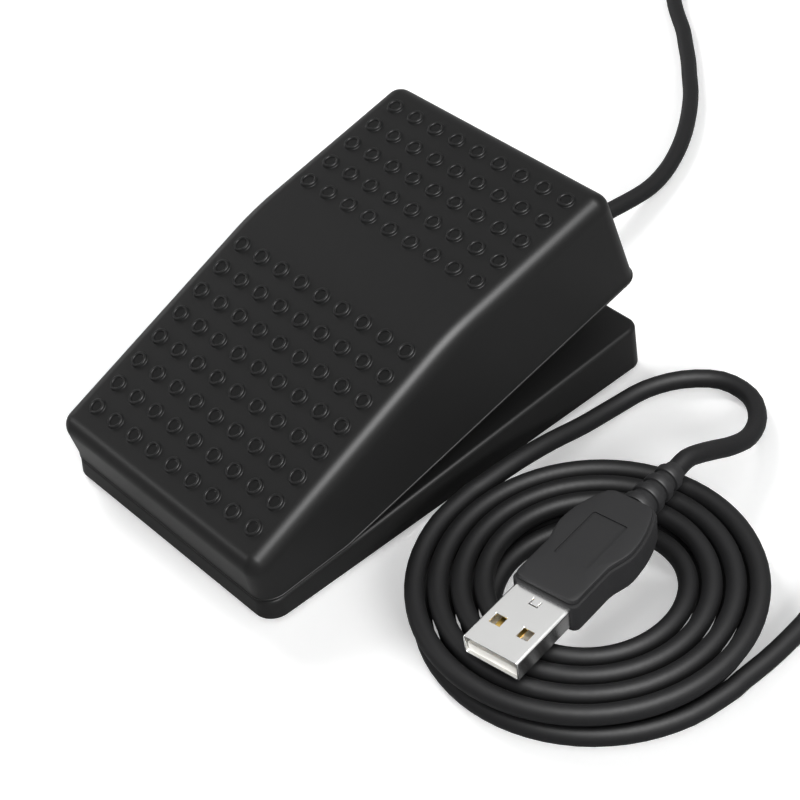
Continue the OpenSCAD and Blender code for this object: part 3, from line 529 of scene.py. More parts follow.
def finishes():
    """The materials by name, made once."""
    if "moulded ABS" in bpy.data.materials:
        return bpy.data.materials
    f = bpy.context.scene.foot_pedal_finish
    # ABS moulded against a spark-eroded tool: satin black, wide soft highlights, a very fine grain.
    # The real grain of 0.1 mm is drawn at 0.3 mm so that it shows at all.
    finish_material("moulded ABS", tones(f.abs_black, 0.92, 1.1), (0.37, 0.43), grain=0.3, relief=0.003,
                    level=0.045, IOR=1.53)
    # ABS against the tool's polished pins: the dimples in the studs, smooth, and a deeper black that is
    # painted shade in the hollows.
    finish_material("polished ABS with painted shade", tones(f.abs_black, 0.6, 0.72), (0.22, 0.28), grain=0.3, relief=0.001,
                    level=0.08, IOR=1.53)
    # PVC jacket, extruded: smooth, with a soft sheen along the cord and a faint unevenness.
    finish_material("extruded PVC", tones(f.cord_black, 0.9, 1.15), (0.52, 0.62), grain=0.6, relief=0.01,
                    level=0.06, IOR=1.53)
    # Thermoplastic elastomer moulded over the cord: matt dark grey with a fine spark grain.
    finish_material("overmoulded elastomer", tones(f.grip_black, 0.9, 1.1), (0.5, 0.6), grain=0.25,
                    relief=0.012, level=0.075, IOR=1.5)
    # Deep-drawn steel, nickel plated: pale, with the faint lengthwise drawing marks softened.
    finish_material("nickel plated steel", tones(f.nickel, 0.94, 1), (0.16, 0.26), grain=0.2, relief=0.002,
                    Metallic=1.0)
    # Steel, zinc plated in a barrel: grey, lightly clouded and not quite bright.
    finish_material("zinc plated steel", tones(f.zinc, 0.85, 1), (0.3, 0.42), grain=0.15, relief=0.002,
                    Metallic=1.0)
    # Drawn spring steel, oiled: darker grey with an even sheen.
    finish_material("spring steel", hexes("#6d6f72", "#85878a"), (0.25, 0.35), grain=0.15, relief=0.002,
                    Metallic=1.0)
    # Natural rubber, pressed: matt and dark, with a soft tooth.
    finish_material("pressed rubber", hexes("#161617", "#202021"), (0.75, 0.9), grain=0.4, relief=0.02,
                    level=0.3, IOR=1.52)
    # Glass epoxy under solder mask: green with the weave's faint unevenness under a gloss.
    finish_material("solder mask", tones(f.board_green, 0.9, 1.1), (0.25, 0.35), grain=0.4, relief=0.004,
                    IOR=1.5)
    # Epoxy moulding compound: charcoal, matt, finely pitted.
    finish_material("moulding compound", hexes("#1a1a1b", "#242425"), (0.6, 0.75), grain=0.1, relief=0.004)
    # Fired ceramic and solder caps: mid grey, slightly grainy.
    finish_material("fired ceramic", hexes("#7b7d80", "#96989b"), (0.4, 0.6), grain=0.1, relief=0.003)
    # Acetal plunger: red, waxy and smooth.
    finish_material("acetal", hexes("#93301f", "#a53a27"), (0.35, 0.45), grain=0.2, relief=0.002, IOR=1.48)
    # Glass-filled polyester of the switch case: black, with a slightly fibrous matt skin.
    finish_material("filled polyester", hexes("#1c1d1f", "#26272a"), (0.5, 0.65), grain=0.25, relief=0.006)
    # Brass, tinned or gold flashed: warm metal with a fine rolled unevenness.
    finish_material("flashed brass", hexes("#b8964a", "#cfae62"), (0.25, 0.38), grain=0.15, relief=0.002,
                    Metallic=1.0)
    # Liquid crystal polymer of the plug's tongue: off white, with faint flow marks.
    finish_material("white polymer", hexes("#dcdad4", "#e9e7e1"), (0.45, 0.55), grain=0.3, relief=0.003)
    # Wire insulation, extruded PVC in the four usual colours: smooth and fairly glossy.
    for name, shade in (("red", "#9c2421"), ("white", "#d9d8d2"), ("green", "#2f7a45"), ("black", "#1c1c1d")):
        finish_material(f"{name} wire PVC", tones(linear(shade), 0.92, 1), (0.32, 0.42), grain=0.3,
                        relief=0.003)
    return bpy.data.materials


# Pieces


class FOOTPEDAL_OT_camera(bpy.types.Operator):
    """Set the camera where the photographer stood"""

    bl_idname = "foot_pedal.camera"
    bl_label = "Camera"

    def execute(self, context):
        camera = bpy.data.cameras.new("Camera")
        camera.sensor_width = 36.0
        camera.lens = 95.823
        camera.clip_start = 0.01
        place = Matrix.Translation((0.26746, -0.18629, 0.29075))
        right = Vector((0.66077, 0.74319, -0.10516))
        up = Vector((-0.44517, 0.50084, 0.74229))
        turn = Matrix((right, up, right.cross(up))).transposed().to_4x4()
        context.scene.camera = add_object("Camera", camera)
        context.scene.camera.matrix_world = place @ turn
        return {"FINISHED"}


def coil_points(cord):
    """The coil's middle line: in along the floor, up a layer, and out again on top."""
    middle = cord.coil_turns / 2
    soft = 0.03
    climb = 0.25
    per_turn = 24
    inner = cord.coil_radius - cord.coil_step * math.hypot(middle, soft)
    out = []
    for i in range(round(cord.coil_turns * per_turn) + 1):
        t = i / per_turn
        r = inner + cord.coil_step * math.hypot(t - middle, soft)
        a = -math.tau * t
        lift = (cord.thick + LAYER_GAP) * smooth_step((t - middle + climb) / (2 * climb))
        out.append(COIL_AT + Vector((r * math.cos(a), r * math.sin(a), CORD_LIE + lift)))
    along = Vector((0, cord.thick, 0))
    return [out[0] + along, *out, out[-1] + along]


class FOOTPEDAL_OT_cord(bpy.types.Operator):
    """Lay the cord from the base to the plug"""

    bl_idname = "foot_pedal.cord"
    bl_label = "Cord"

    def execute(self, context):
        cord = context.scene.foot_pedal_cord
        base = context.scene.foot_pedal_base
        start = Vector((cord.outlet_x, base.long / 2 + cord.relief, cord.outlet_z))
        boot_end = -cord.grip / 2 - cord.boot
        ending = [plug_layout() @ Vector((0, boot_end - back, 0)) for back in (cord.thick, 0)]
        run, lead = ([Vector(p) * MM for p in points] for points in (RUN_MM, LEAD_MM))
        path = flowing([start, *run, *coil_points(cord), *lead, *ending], steps=3)
        bm = bmesh.new()
        tube(bm, path, cord.thick, sides=16)
        obj = piece("cord_jacket", bm, "base", ["cord_run", "cord_coil", "plug_lead"],
                    ["extruded PVC"])
        plug_pieces = [frame["nodes"][n] for n in ("plug_tongue", "plug_contacts")]
        plug_pieces += [bpy.data.objects[n] for n in ("plug_boot", "plug_moulding", "plug_shell_sheet")]
        return {"FINISHED"}


def ribbed(long, root, tip, groove, ribs):
    """Radius and height pairs of a boot with rounded ribs."""
    # One rib, as shares of the groove's depth and of the step to the next rib.
    rib = [(1, 0), (0.25, 0.04), (0, 0.14), (0, 0.44), (0.25, 0.54), (1, 0.6)]
    out = []
    for i in range(ribs):
        radius = root + (tip - root) * (i + 0.25) / ribs
        out += [(radius - deep * groove, (i + along) * long / ribs) for deep, along in rib]
    return out + [(tip - groove, long)]


def grip_half(cord, s):
    """Half width of the grip at a share of its length, from its front to its rear."""
    front_share, flare_share = 0.36, 0.22
    overhang, flare, rear = 1.15 * MM, 1.2 * MM, 5.2 * MM
    front = cord.shell_width / 2 + overhang
    if s < front_share + flare_share:
        return front + flare * smooth_step((s - front_share) / flare_share)
    taper = (s - front_share - flare_share) / (1 - front_share - flare_share)
    return front + flare - (front + flare - rear) * taper * taper


def grip_outline(cord, inset):
    """Outline of the grip in plan, with rounded corners at both ends."""
    corner = 1.3 * MM
    long = cord.grip - 2 * inset
    stops = [0, 0.004, 0.012, 0.025, 0.042, 0.06]
    shares = stops + [i / 24 for i in range(2, 23)] + [1 - s for s in reversed(stops)]
    half = []
    for s in shares:
        from_end = min(corner, min(s, 1 - s) * long)
        cut = corner - math.sqrt(from_end * (2 * corner - from_end))
        half.append((grip_half(cord, s) - inset - cut, long / 2 - s * long))
    return half + [(-x, y) for x, y in reversed(half)]


class FOOTPEDAL_OT_plug(bpy.types.Operator):
    """Make the plug: moulded grip, ribbed boot and pressed shell"""

    bl_idname = "foot_pedal.plug"
    bl_label = "Plug"

    def execute(self, context):
        cord = context.scene.foot_pedal_cord
        self.boot(cord)
        self.moulding(cord)
        self.shell(cord)
        return {"FINISHED"}

    def boot(self, cord):
        root, tip, groove = 1.7 * MM, 0.7 * MM, 0.55 * MM
        r = cord.thick / 2
        behind = Matrix.Translation((0, -cord.grip / 2, 0)) @ Matrix.Rotation(math.pi / 2, 4, "X")
        bm = bmesh.new()
        lathe(bm, ribbed(cord.boot, r + root, r + tip, groove, ribs=4), plug_layout() @ behind)
        piece("plug_boot", bm, "base", ["plug_relief"], ["overmoulded elastomer"])

    def moulding(self, cord):
        place = plug_layout()
        half = cord.grip_height / 2
        # Inset and height from below in millimetres: the cap's edge and side, a groove, and the body.
        levels = [(1.0, 0.0), (0.62, 0.12), (0.5, 0.4), (0.5, 0.9), (0.85, 1.0), (0.85, 1.12), (0.15, 1.2),
                  (0.0, 1.45)]
        panel_wide, panel_long, panel_corner = 7.6 * MM, 12.4 * MM, 0.5 * MM
        panel_back, panel_deep = 0.6 * MM, 0.3 * MM

        def at(p, z):
            return place @ Vector((p[0], p[1], z))

        sides = [(inset * MM, z * MM - half) for inset, z in levels]
        sides += [(inset, -z) for inset, z in reversed(sides)]
        bm = bmesh.new()
        rows = rings(bm, [[at(p, z) for p in grip_outline(cord, inset)] for inset, z in sides])
        bm.faces.new(rows[0])
        panel = [(x, y - panel_back) for x, y in round_rect(panel_wide, panel_long, panel_corner)]
        fill(bm, grip_outline(cord, sides[-1][0]), [panel], lambda p: at(p, half))
        rings(bm, [[at(p, z) for p in panel] for z in (half, half - panel_deep)])
        fill(bm, panel, [], lambda p: at(p, half - panel_deep))
        piece("plug_moulding", bm, "base", ["plug_grip"], ["overmoulded elastomer"], weld=True)

    def shell(self, cord):
        wide, tall, long = cord.shell_width / 2, cord.shell_height / 2, cord.shell
        corner = 0.55 * MM
        window, gap, window_in = 2.4 * MM, 3.6 * MM, 5.0 * MM
        tab, tab_from, tab_to, slit = 0.75 * MM, 1.3 * MM, 2.6 * MM, 0.22 * MM
        stops = [tab, tab + slit, gap / 2, gap / 2 + window, wide - corner]
        top = [(x, tall) for x in [-x for x in reversed(stops)] + stops]
        bends = arc(corner, 60, 0, 2, (wide - corner, tall - corner))
        half_loop = top + bends + [(x, -z) for x, z in reversed(bends)]
        loop = half_loop + [(-x, -z) for x, z in half_loop]
        rows_at = [0, tab_from, tab_to, tab_to + slit, long - window_in - window, long - window_in, long]
        place = plug_layout() @ Matrix.Translation((0, cord.grip / 2, 0))
        bm = bmesh.new()
        rings(bm, [[place @ Vector((x, y, z)) for x, z in loop] for y in rows_at])
        # Faces to cut out, by row and by place in the loop: windows above and below, slit of the latch.
        windows = [(4, i + under) for under in (0, len(half_loop)) for i in (1, 7)]
        latch = [(1, 3), (1, 5), (2, 3), (2, 4), (2, 5)]
        bm.faces.ensure_lookup_table()
        holes = [bm.faces[row * len(loop) + i] for row, i in windows + latch]
        bmesh.ops.delete(bm, geom=holes, context="FACES")
        obj = piece("plug_shell_sheet", bm, "base", ["plug_shell"], ["nickel plated steel"])
        sheet = obj.modifiers.new("Sheet", "SOLIDIFY")
        sheet.thickness = 0.35 * MM
        sheet.offset = -1
        soft = obj.modifiers.new("Soft edges", "BEVEL")
        soft.width = 0.07 * MM
        soft.segments = 2
        obj.modifiers.move(0, 2)


class FOOTPEDAL_OT_outlet(bpy.types.Operator):
    """Make the strain relief in the base's rear wall and the cord's end inside it"""

    bl_idname = "foot_pedal.outlet"
    bl_label = "Cord outlet"

    def execute(self, context):
        cord = context.scene.foot_pedal_cord
        base = context.scene.foot_pedal_base
        flange, lip, neck, soft = 1.2 * MM, 1.1 * MM, 0.5 * MM, 0.1 * MM
        root, groove = 1.6 * MM, 0.4 * MM
        tail, cut = 7 * MM, 0.15 * MM
        r = cord.thick / 2
        reach = flange + base.wall
        inner_y = base.long / 2 - reach
        place = Matrix.Translation((cord.outlet_x, inner_y, cord.outlet_z))
        outward = place @ Matrix.Rotation(-math.pi / 2, 4, "X")
        profile = [(r + lip - soft, 0), (r + lip, soft), (r + lip, flange), (r + neck, flange),
                   (r + neck, reach)]
        profile += [(x, reach + z) for x, z in ribbed(cord.relief, r + root, r + neck, groove, ribs=4)]
        bm = bmesh.new()
        lathe(bm, profile, outward)
        piece("outlet_boot", bm, "base", ["cord_relief"], ["extruded PVC"])
        bm = bmesh.new()
        lathe(bm, [(r - cut, -tail), (r, cut - tail), (r, 0)], outward, steps=20)
        piece("cord_end", bm, "base", ["cord_tail"], ["extruded PVC"])
        self.wires(cord, inner_y - tail)
        return {"FINISHED"}

    def wires(self, cord, start_y):
        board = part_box("circuit_board")[1]
        thick, pitch, spread, from_edge = 0.882 * MM, 0.9 * MM, 2.2 * MM, 1.5 * MM
        along = Vector((0, pitch, 0))
        names = ("red", "white", "green", "black")
        bm = bmesh.new()
        for i in range(len(names)):
            before = len(bm.faces)
            place = i - (len(names) - 1) / 2
            a = Vector((cord.outlet_x + place * pitch, start_y, cord.outlet_z))
            b = Vector((cord.outlet_x + place * spread, board.y - from_edge, board.z + pitch / 2))
            tube(bm, flowing([a, a - along, b + along, b], steps=6), thick, sides=12)
            paint(bm, before, i)
        piece("inner_wires", bm, "base", ["cord_wires"], [f"{n} wire PVC" for n in names])


def edge_line(c, layout):
    """Middle of the tread's edge rounding along a side, as distance, height and slope, front to rear."""
    front_steps, bend_steps, rear_steps = 8, 12, 6
    a, b = layout.front_a, layout.rear_a
    mid = (a + b) / 2
    reach = c.bend_radius / math.cos((a - b) / 2)
    u0 = c.bend_at + reach * math.sin(mid)
    z0 = c.bend_height - reach * math.cos(mid)
    r = c.bend_radius - c.edge
    slopes = [a + (b - a) * i / bend_steps for i in range(bend_steps + 1)]
    bend = [(u0 - r * math.sin(s), z0 + r * math.cos(s), s) for s in slopes]
    u1 = c.front_lean + c.edge
    u2 = layout.long - c.rear_lean - c.edge
    first = (u1, layout.tread(u1) - c.edge / math.cos(a), a)
    last = (u2, layout.tread(u2) - c.edge / math.cos(b), b)
    kink_u = u1 + (u2 - u1) * (c.kink_at - c.front_corner) / (layout.long - c.front_corner - c.corner)
    shares = sorted([i / front_steps for i in range(front_steps)] + [(kink_u - u1) / (bend[0][0] - u1)])
    front = [tuple(p + (q - p) * s for p, q in zip(first, bend[0])) for s in shares]
    shares = [i / rear_steps for i in range(1, rear_steps + 1)]
    rear = [tuple(p + (q - p) * s for p, q in zip(bend[-1], last)) for s in shares]
    return front + bend + rear, len(front), len(front) + bend_steps


def cover_stations(c, layout):
    """One walk round the cover. Each step has the skirt point, the middle of the edge rounding, the
    way the wall faces in plan, the wall's lean and the tread's slope."""
    line, bend_start, bend_end = edge_line(c, layout)
    skirt_x = layout.wide / 2
    radius = {1: c.corner, -1: c.front_corner}
    steps, across = 10, 10

    def middle_x(z):
        return skirt_x - z * math.tan(c.draft) - c.edge

    def skirt_u(u):
        share = (u - line[0][0]) / (line[-1][0] - line[0][0])
        return radius[-1] + share * (layout.long - radius[-1] - radius[1])

    def skirt_at(x, u, face):
        """A point of the skirt's lower edge, which dips to its bend."""
        dip = c.kink_drop * min(u / c.kink_at, (layout.long - u) / (layout.long - c.kink_at))
        return Vector((x, u, -dip)) + face * dip * math.tan(c.draft) * abs(face.x)

    front_lean = math.atan(c.front_lean / line[0][1])
    rear_lean = math.atan(c.rear_lean / line[-1][1])
    ends = {1: (line[-1], rear_lean, layout.long - radius[1]), -1: (line[0], front_lean, radius[-1])}
    out = []

    def side(sign, order):
        face = Vector((sign, 0, 0))
        for u, z, slope in order:
            out.append((skirt_at(sign * skirt_x, skirt_u(u), face), Vector((sign * middle_x(z), u, z)),
                        face, c.draft, slope))

    def corner(x, y, start):
        (u, z, slope), lean, centre = ends[y]
        r = radius[y]
        for pair in arc(1, start, start + 90, steps)[1:-1]:
            face = Vector((*pair, 0))
            share = abs(face.y)
            out.append((skirt_at(x * (skirt_x - r) + r * face.x, centre + r * face.y, face),
                        Vector((x * middle_x(z), u, z)), face, c.draft * (1 - share) + lean * share, slope))

    def end(y, sign):
        (u, z, slope), lean, centre = ends[y]
        face = Vector((0, y, 0))
        for i in range(across + 1):
            share = sign * (1 - 2 * i / across)
            out.append((skirt_at(share * (skirt_x - radius[y]), centre + y * radius[y], face),
                        Vector((share * middle_x(z), u, z)), face, lean, slope))

    side(1, line)
    corner(1, 1, 0)
    end(1, 1)
    corner(-1, 1, 90)
    left_end = len(out) + len(line) - 1
    side(-1, list(reversed(line)))
    corner(-1, -1, 180)
    end(-1, -1)
    corner(1, -1, 270)
    bends = SimpleNamespace(
        right_start=bend_start, right_end=bend_end,
        left_start=left_end - bend_start, left_end=left_end - bend_end,
    )
    return out, bends


def tread_normal(slope):
    """The way a surface with this slope to the rear faces."""
    return Vector((0, -math.sin(slope), math.cos(slope)))


def lip_profile(c):
    """Foot of the cover's wall, as distances out of the wall and heights: a lip with both its edges
    rounded, and a cove from the lip to the plain wall."""
    shoulder = 0.7 * c.lip
    low = c.rim + shoulder
    profile = arc(c.rim, -90, 0, 4, (c.lip - c.rim, c.rim))
    profile += arc(shoulder, 0, 90, 4, (c.lip - shoulder, c.rim))[1:]
    cove = [((c.lip - shoulder) * (1 - t) ** 2, low + t * (c.cove - low)) for t in (0.2, 0.4, 0.6, 0.8, 1)]
    return profile + cove


def stud(bm, c, place):
    """One stud on the matrix's Z axis: a ring with a round crest and a dimple. Returns its root ring."""
    profile = [(c.stud / 2 + out * MM, share * c.stud_height) for out, share in STUD_PROFILE]
    loops = turned(profile, place, steps=24)
    rings(bm, loops[: DIMPLE + 1])
    before = len(bm.faces)
    rows = rings(bm, loops[DIMPLE:])
    bm.faces.new(rows[-1])
    # The dimple takes the darker polished finish, its darkness painted shade.
    paint(bm, before, 1)
    return loops[0]


def stud_rows(bm, c, slope, distances):
    """Rows of studs on a tread, at distances from the bend. Returns their root rings in plan."""
    out = []
    for distance in distances:
        for column in range(-c.stud_columns, c.stud_columns + 1):
            bend = Matrix.Translation((column * c.stud_pitch, c.bend_at, c.bend_height))
            place = bend @ Matrix.Rotation(slope, 4, "X") @ Matrix.Translation((0, distance, 0))
            out.append([p.xy for p in stud(bm, c, place)])
    return out


def cover_skin(bm, c, layout, inset, outside):
    """One skin of the cover, set in from the outside, from its rim to its filled tread. The outside has
    the lip and the studs. Returns the rim's vertices."""
    stations, bends = cover_stations(c, layout)
    wall_steps, edge_steps, across = 6, 9, 20
    edge = c.edge - inset
    foot_profile = lip_profile(c) if outside else [(0, 0)]
    walls = []
    for skirt, middle, face, lean, slope in stations:
        foot = skirt - face * inset
        wall = (face * math.cos(lean) + UP * math.sin(lean)).normalized()
        normal = tread_normal(slope)
        top = middle + wall * edge
        rise = (top - foot) / (top.z - foot.z)
        column = [foot + rise * height + face * out for out, height in foot_profile]
        column += [column[-1].lerp(top, i / wall_steps) for i in range(1, wall_steps)]
        column += [middle + wall.slerp(normal, i / edge_steps) * edge for i in range(edge_steps + 1)]
        walls.append(column)
    loops = [list(row) for row in zip(*walls)]
    rows = rings(bm, loops)
    cap = loops[-1]

    def strip(i):
        """Points across the tread at a step of the bend."""
        right, left = cap[bends.right_start + i], cap[bends.left_start - i]
        return [right.lerp(left, k / across) for k in range(across + 1)]

    strips = [strip(i) for i in range(bends.right_end - bends.right_start + 1)]
    rings(bm, strips, closed=False)
    front = cap[bends.left_start :] + cap[: bends.right_start + 1] + strips[0][1:-1]
    rear = cap[bends.right_end : bends.left_end + 1] + list(reversed(strips[-1][1:-1]))

    def on_tread(p, slope):
        z = c.bend_height + (p[1] - c.bend_at) * math.tan(slope) - inset / math.cos(slope)
        return Vector((p[0], p[1], z))

    for loop, slope, way, start, count in (
        (front, layout.front_a, -1, c.stud_front, c.front_rows),
        (rear, layout.rear_a, 1, c.stud_rear, c.rear_rows),
    ):
        outline = []
        for p in loop:
            if not outline or (p.xy - outline[-1]).length > WELD:
                outline.append(p.xy)
        if (outline[0] - outline[-1]).length < WELD:
            outline.pop()
        distances = [way * (start + row * c.stud_pitch) for row in range(count)]
        holes = stud_rows(bm, c, slope, distances) if outside else []
        fill(bm, outline, holes, lambda p: on_tread(p, slope))
    return rows[0]


class FOOTPEDAL_OT_cover(bpy.types.Operator):
    """Make the moulded tread cover with its studs and what hangs under it"""

    bl_idname = "foot_pedal.cover"
    bl_label = "Tread cover"

    def execute(self, context):
        c = context.scene.foot_pedal_cover
        layout = cover_layout()
        bm = bmesh.new()
        outer = cover_skin(bm, c, layout, 0.0, True)
        inner = cover_skin(bm, c, layout, c.wall, False)
        bridge(bm, outer, inner)
        bmesh.ops.transform(bm, matrix=layout.place, verts=bm.verts)
        self.ribs(bm, c, layout)
        self.lugs(bm, context.scene.foot_pedal_base, layout)
        self.spring_boss(bm, layout)
        self.actuator(bm, layout)
        # The second finish is the studs' dimples, darker as painted shade.
        piece("tread_cover", bm, "pedal", ["pedal_cover"], ["moulded ABS", "polished ABS with painted shade"],
              weld=True)
        return {"FINISHED"}

    def ribs(self, bm, c, layout):
        """Two ribs along the tread and three across it, rooted in its wall."""
        thick, deep, from_end, root = 1.4 * MM, 3 * MM, 2.5 * MM, 0.3 * MM
        along_x, across_u = 12 * MM, (22.5 * MM, 49 * MM, 79 * MM)
        in_wall = c.wall / 2
        line = [from_end, c.bend_at, layout.long - from_end]
        under = [(u, layout.tread(u) - c.wall - deep) for u in line]
        over = [(u, layout.tread(u) - in_wall - root) for u in reversed(line)]
        for x in (-along_x, along_x):
            slab(bm, under + over, [], x - thick / 2, x + thick / 2, layout.place)
        for u in across_u:
            z = layout.tread(u) - c.wall - deep
            half = layout.wide / 2 - (z + deep) * math.tan(c.draft) - in_wall
            top = min(layout.tread(u), layout.tread(u + thick)) - in_wall
            slab(bm, [(u, z), (u + thick, z), (u + thick, top), (u, top)], [], -half, half, layout.place)

    def lugs(self, bm, b, layout):
        """Two lugs that turn on the hinge pin, each with a heel that stops on the deck."""
        base = base_layout()
        play, heel_gap, side_gap = 0.05 * MM, 0.15 * MM, 0.3 * MM
        y, z, r = base.hinge.y, base.hinge.z, base.knuckle
        heel = 2 * b.knuckle_wall
        heel_z = base.deck_z(y - r) + heel_gap
        heel_top = z - 0.98 * r
        lug = [(y - r, heel_z), (y - r + heel, heel_z + heel * math.tan(base.deck_a)),
               (y - r + heel, heel_top)]
        lug += arc(r, -85, 0, 5, (y, z))
        lug += [(y + r, layout.wall_z(0, y + r)), (y - r, layout.wall_z(0, y - r))]
        bore = circle(b.pin / 2 + play, centre=(y, z))
        low = b.ear_at + b.ear + side_gap
        for x in (low, -low - b.ear):
            slab(bm, lug, [bore], x, x + b.ear)

    def spring_boss(self, bm, layout):
        """The boss that rests on the spring, from its spigot up into the tread's wall."""
        top = base_layout().spring_top
        profile = [(SPIGOT - SPIGOT_TAPER, top - SPIGOT_TALL), (SPIGOT, top - SPIGOT_TALL + SPIGOT_TAPER),
                   (SPIGOT, top), (SEAT, top)]
        loops = turned(profile, Matrix.Translation((0, SPRING_Y, 0)), steps=32)
        loops.append([Vector((p.x, p.y, layout.wall_z(p.x, p.y))) for p in loops[-1]])
        solid(bm, loops)

    def actuator(self, bm, layout):
        """The blade that presses the switch lever, with a web along its middle."""
        pivot_y, pivot_z = 2.6 * MM, 12.4 * MM
        reach, tilt, lever_gap = 12.6 * MM, math.radians(13), 0.45 * MM
        nose, half, blade_x, web = 1.2 * MM, 1.0 * MM, 3.5 * MM, 3.5 * MM
        y = pivot_y - reach
        z = pivot_z + reach * math.tan(tilt) + (lever_gap + nose) / math.cos(tilt)

        def roof(at):
            return (at, layout.wall_z(0, at))

        slab(bm, [roof(y - half), *arc(nose, -210, 30, 12, (y, z)), roof(y + half)], [], -blade_x, blade_x)
        slab(bm, [(y - web, z + web), (y + web, z + web), roof(y + web), roof(y - web)], [], -half, half)


class FOOTPEDAL_OT_base(bpy.types.Operator):
    """Make the moulded base with its deck, ears and spring seat"""

    bl_idname = "foot_pedal.base"
    bl_label = "Base"

    def execute(self, context):
        b = context.scene.foot_pedal_base
        base = base_layout()
        bm = bmesh.new()
        self.skin(bm, b, base)
        self.fittings(bm, b, base)
        piece("base_moulding", bm, "base", ["base_housing"], ["moulded ABS"], weld=True)
        return {"FINISHED"}

    def plan(self, b):
        """One walk round the base. Each step has the outer point, the inner point and the way it faces."""
        corner_steps, side_steps = 12, 8
        corners = []
        for x, y, start in CORNERS:
            r = b.corner if y > 0 else b.front_corner
            outer, inside = (Vector((x * (b.width / 2 - d), y * (b.long / 2 - d), 0)) for d in (r, b.corner))
            for pair in arc(1, start, start + 90, corner_steps):
                face = Vector((*pair, 0))
                corners.append((outer + face * r, inside + face * (b.corner - b.wall), face))
        out = []
        for here, there in zip(corners, corners[1:] + corners[:1]):
            out.append(here)
            if here[2] == there[2]:
                shares = [i / side_steps for i in range(1, side_steps)]
                out += [(here[0].lerp(there[0], s), here[1].lerp(there[1], s), here[2]) for s in shares]
        return out

    def skin(self, bm, b, base):
        """Walls and deck, open below, with the slot through which the cover reaches the switch."""
        rim, wall_steps, edge_steps = 0.3 * MM, 3, 6
        slot_half, slot_y, slot_reach = 3.3 * MM, -2.6 * MM, 6.8 * MM
        normal = tread_normal(base.deck_a)
        columns, inner = [], []
        for foot, low, face in self.plan(b):
            foot = foot + UP * b.foot
            column = [foot + face * out + UP * height for out, height in arc(rim, -90, 0, 3, (-rim, rim))]
            middle = foot - face * (b.draft + b.edge)
            middle.z = base.deck_z(middle.y) - b.edge / math.cos(base.deck_a)
            lean = math.atan(b.draft / (middle.z - b.foot))
            wall = face * math.cos(lean) + UP * math.sin(lean)
            top = middle + wall * b.edge
            column += [column[-1].lerp(top, i / wall_steps) for i in range(1, wall_steps)]
            column += [middle + wall.slerp(normal, i / edge_steps) * b.edge for i in range(edge_steps + 1)]
            columns.append(column)
            inner.append([low + UP * b.foot, low + UP * (base.deck_z(low.y) - b.deck)])
        loops, inner_loops = ([list(row) for row in zip(*walls)] for walls in (columns, inner))
        rows = rings(bm, loops)
        inner_rows = rings(bm, inner_loops)
        bridge(bm, rows[0], inner_rows[0])
        slot = [(x * slot_half, slot_y + y * slot_reach) for x, y, _ in CORNERS]

        def on_deck(p, drop):
            return Vector((p[0], p[1], base.deck_z(p[1]) - drop))

        for loop, drop in ((loops[-1], 0), (inner_loops[-1], b.deck)):
            fill(bm, [p.xy for p in loop], [slot], lambda p: on_deck(p, drop))
        rings(bm, [[on_deck(p, drop) for p in slot] for drop in (0, b.deck)])

    def fittings(self, bm, b, base):
        """Hinge ears, spring seat and screw bosses, each rooted a little way in the deck."""
        root, press, seat_deep, soft = 0.6 * MM, 0.02 * MM, 2.2 * MM, 0.2 * MM
        y, z, r = base.hinge.y, base.hinge.z, base.knuckle
        foot = base.deck_z(y) - root
        ear = [(y - r, foot), (y + r, foot), *arc(r, 0, 180, 18, (y, z))]
        bore = circle(b.pin / 2 - press, centre=(y, z))
        for x in (b.ear_at, -b.ear_at - b.ear):
            slab(bm, ear, [bore], x, x + b.ear)
        seat = [(SEAT, -seat_deep), (SEAT, -soft), (SEAT - soft, 0), (SPIGOT, 0),
                (SPIGOT, SPIGOT_TALL - SPIGOT_TAPER), (SPIGOT - SPIGOT_TAPER, SPIGOT_TALL)]
        lathe(bm, seat, Matrix.Translation((0, SPRING_Y, base.seat_z)), steps=40)
        # Bosses of the bottom screws and the board screws: place, diameter and lower end in millimetres.
        bosses = [(25.1, y, 6, 2.6) for y in (-28.1, 24.1)] + [(10.2, y, 4.2, 5.3) for y in (4, 29)]
        for x, y, d, low in (Vector(boss) * MM for boss in bosses):
            profile = [(d / 2, low), (d / 2, base.deck_z(y) - b.deck + root)]
            for sign in (1, -1):
                lathe(bm, profile, Matrix.Translation((sign * x, y, 0)), steps=24)


class FOOTPEDAL_OT_spring(bpy.types.Operator):
    """Wind the return spring, which shortens as the pedal goes down"""

    bl_idname = "foot_pedal.spring"
    bl_label = "Return spring"

    def execute(self, context):
        base = base_layout()
        wire, outside, turns, per_turn = 1.1 * MM, 6.5 * MM, 7, 32
        radius = outside - wire / 2
        end_step = wire + 0.6 * MM
        step = (SPRING_TALL - wire - 2 * end_step) / (turns - 2)
        path = []
        for i in range(turns * per_turn + 1):
            t = i / per_turn
            in_ends = min(t, 1) + max(0, t - turns + 1)
            z = base.seat_z + wire / 2 + in_ends * end_step + (t - in_ends) * step
            a = math.tau * t
            path.append(Vector((radius * math.cos(a), SPRING_Y + radius * math.sin(a), z)))
        bm = bmesh.new()
        tube(bm, path, wire, sides=12)
        obj = piece("spring_wire", bm, None, ["return_spring"], ["spring steel"])
        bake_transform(obj)
        return {"FINISHED"}


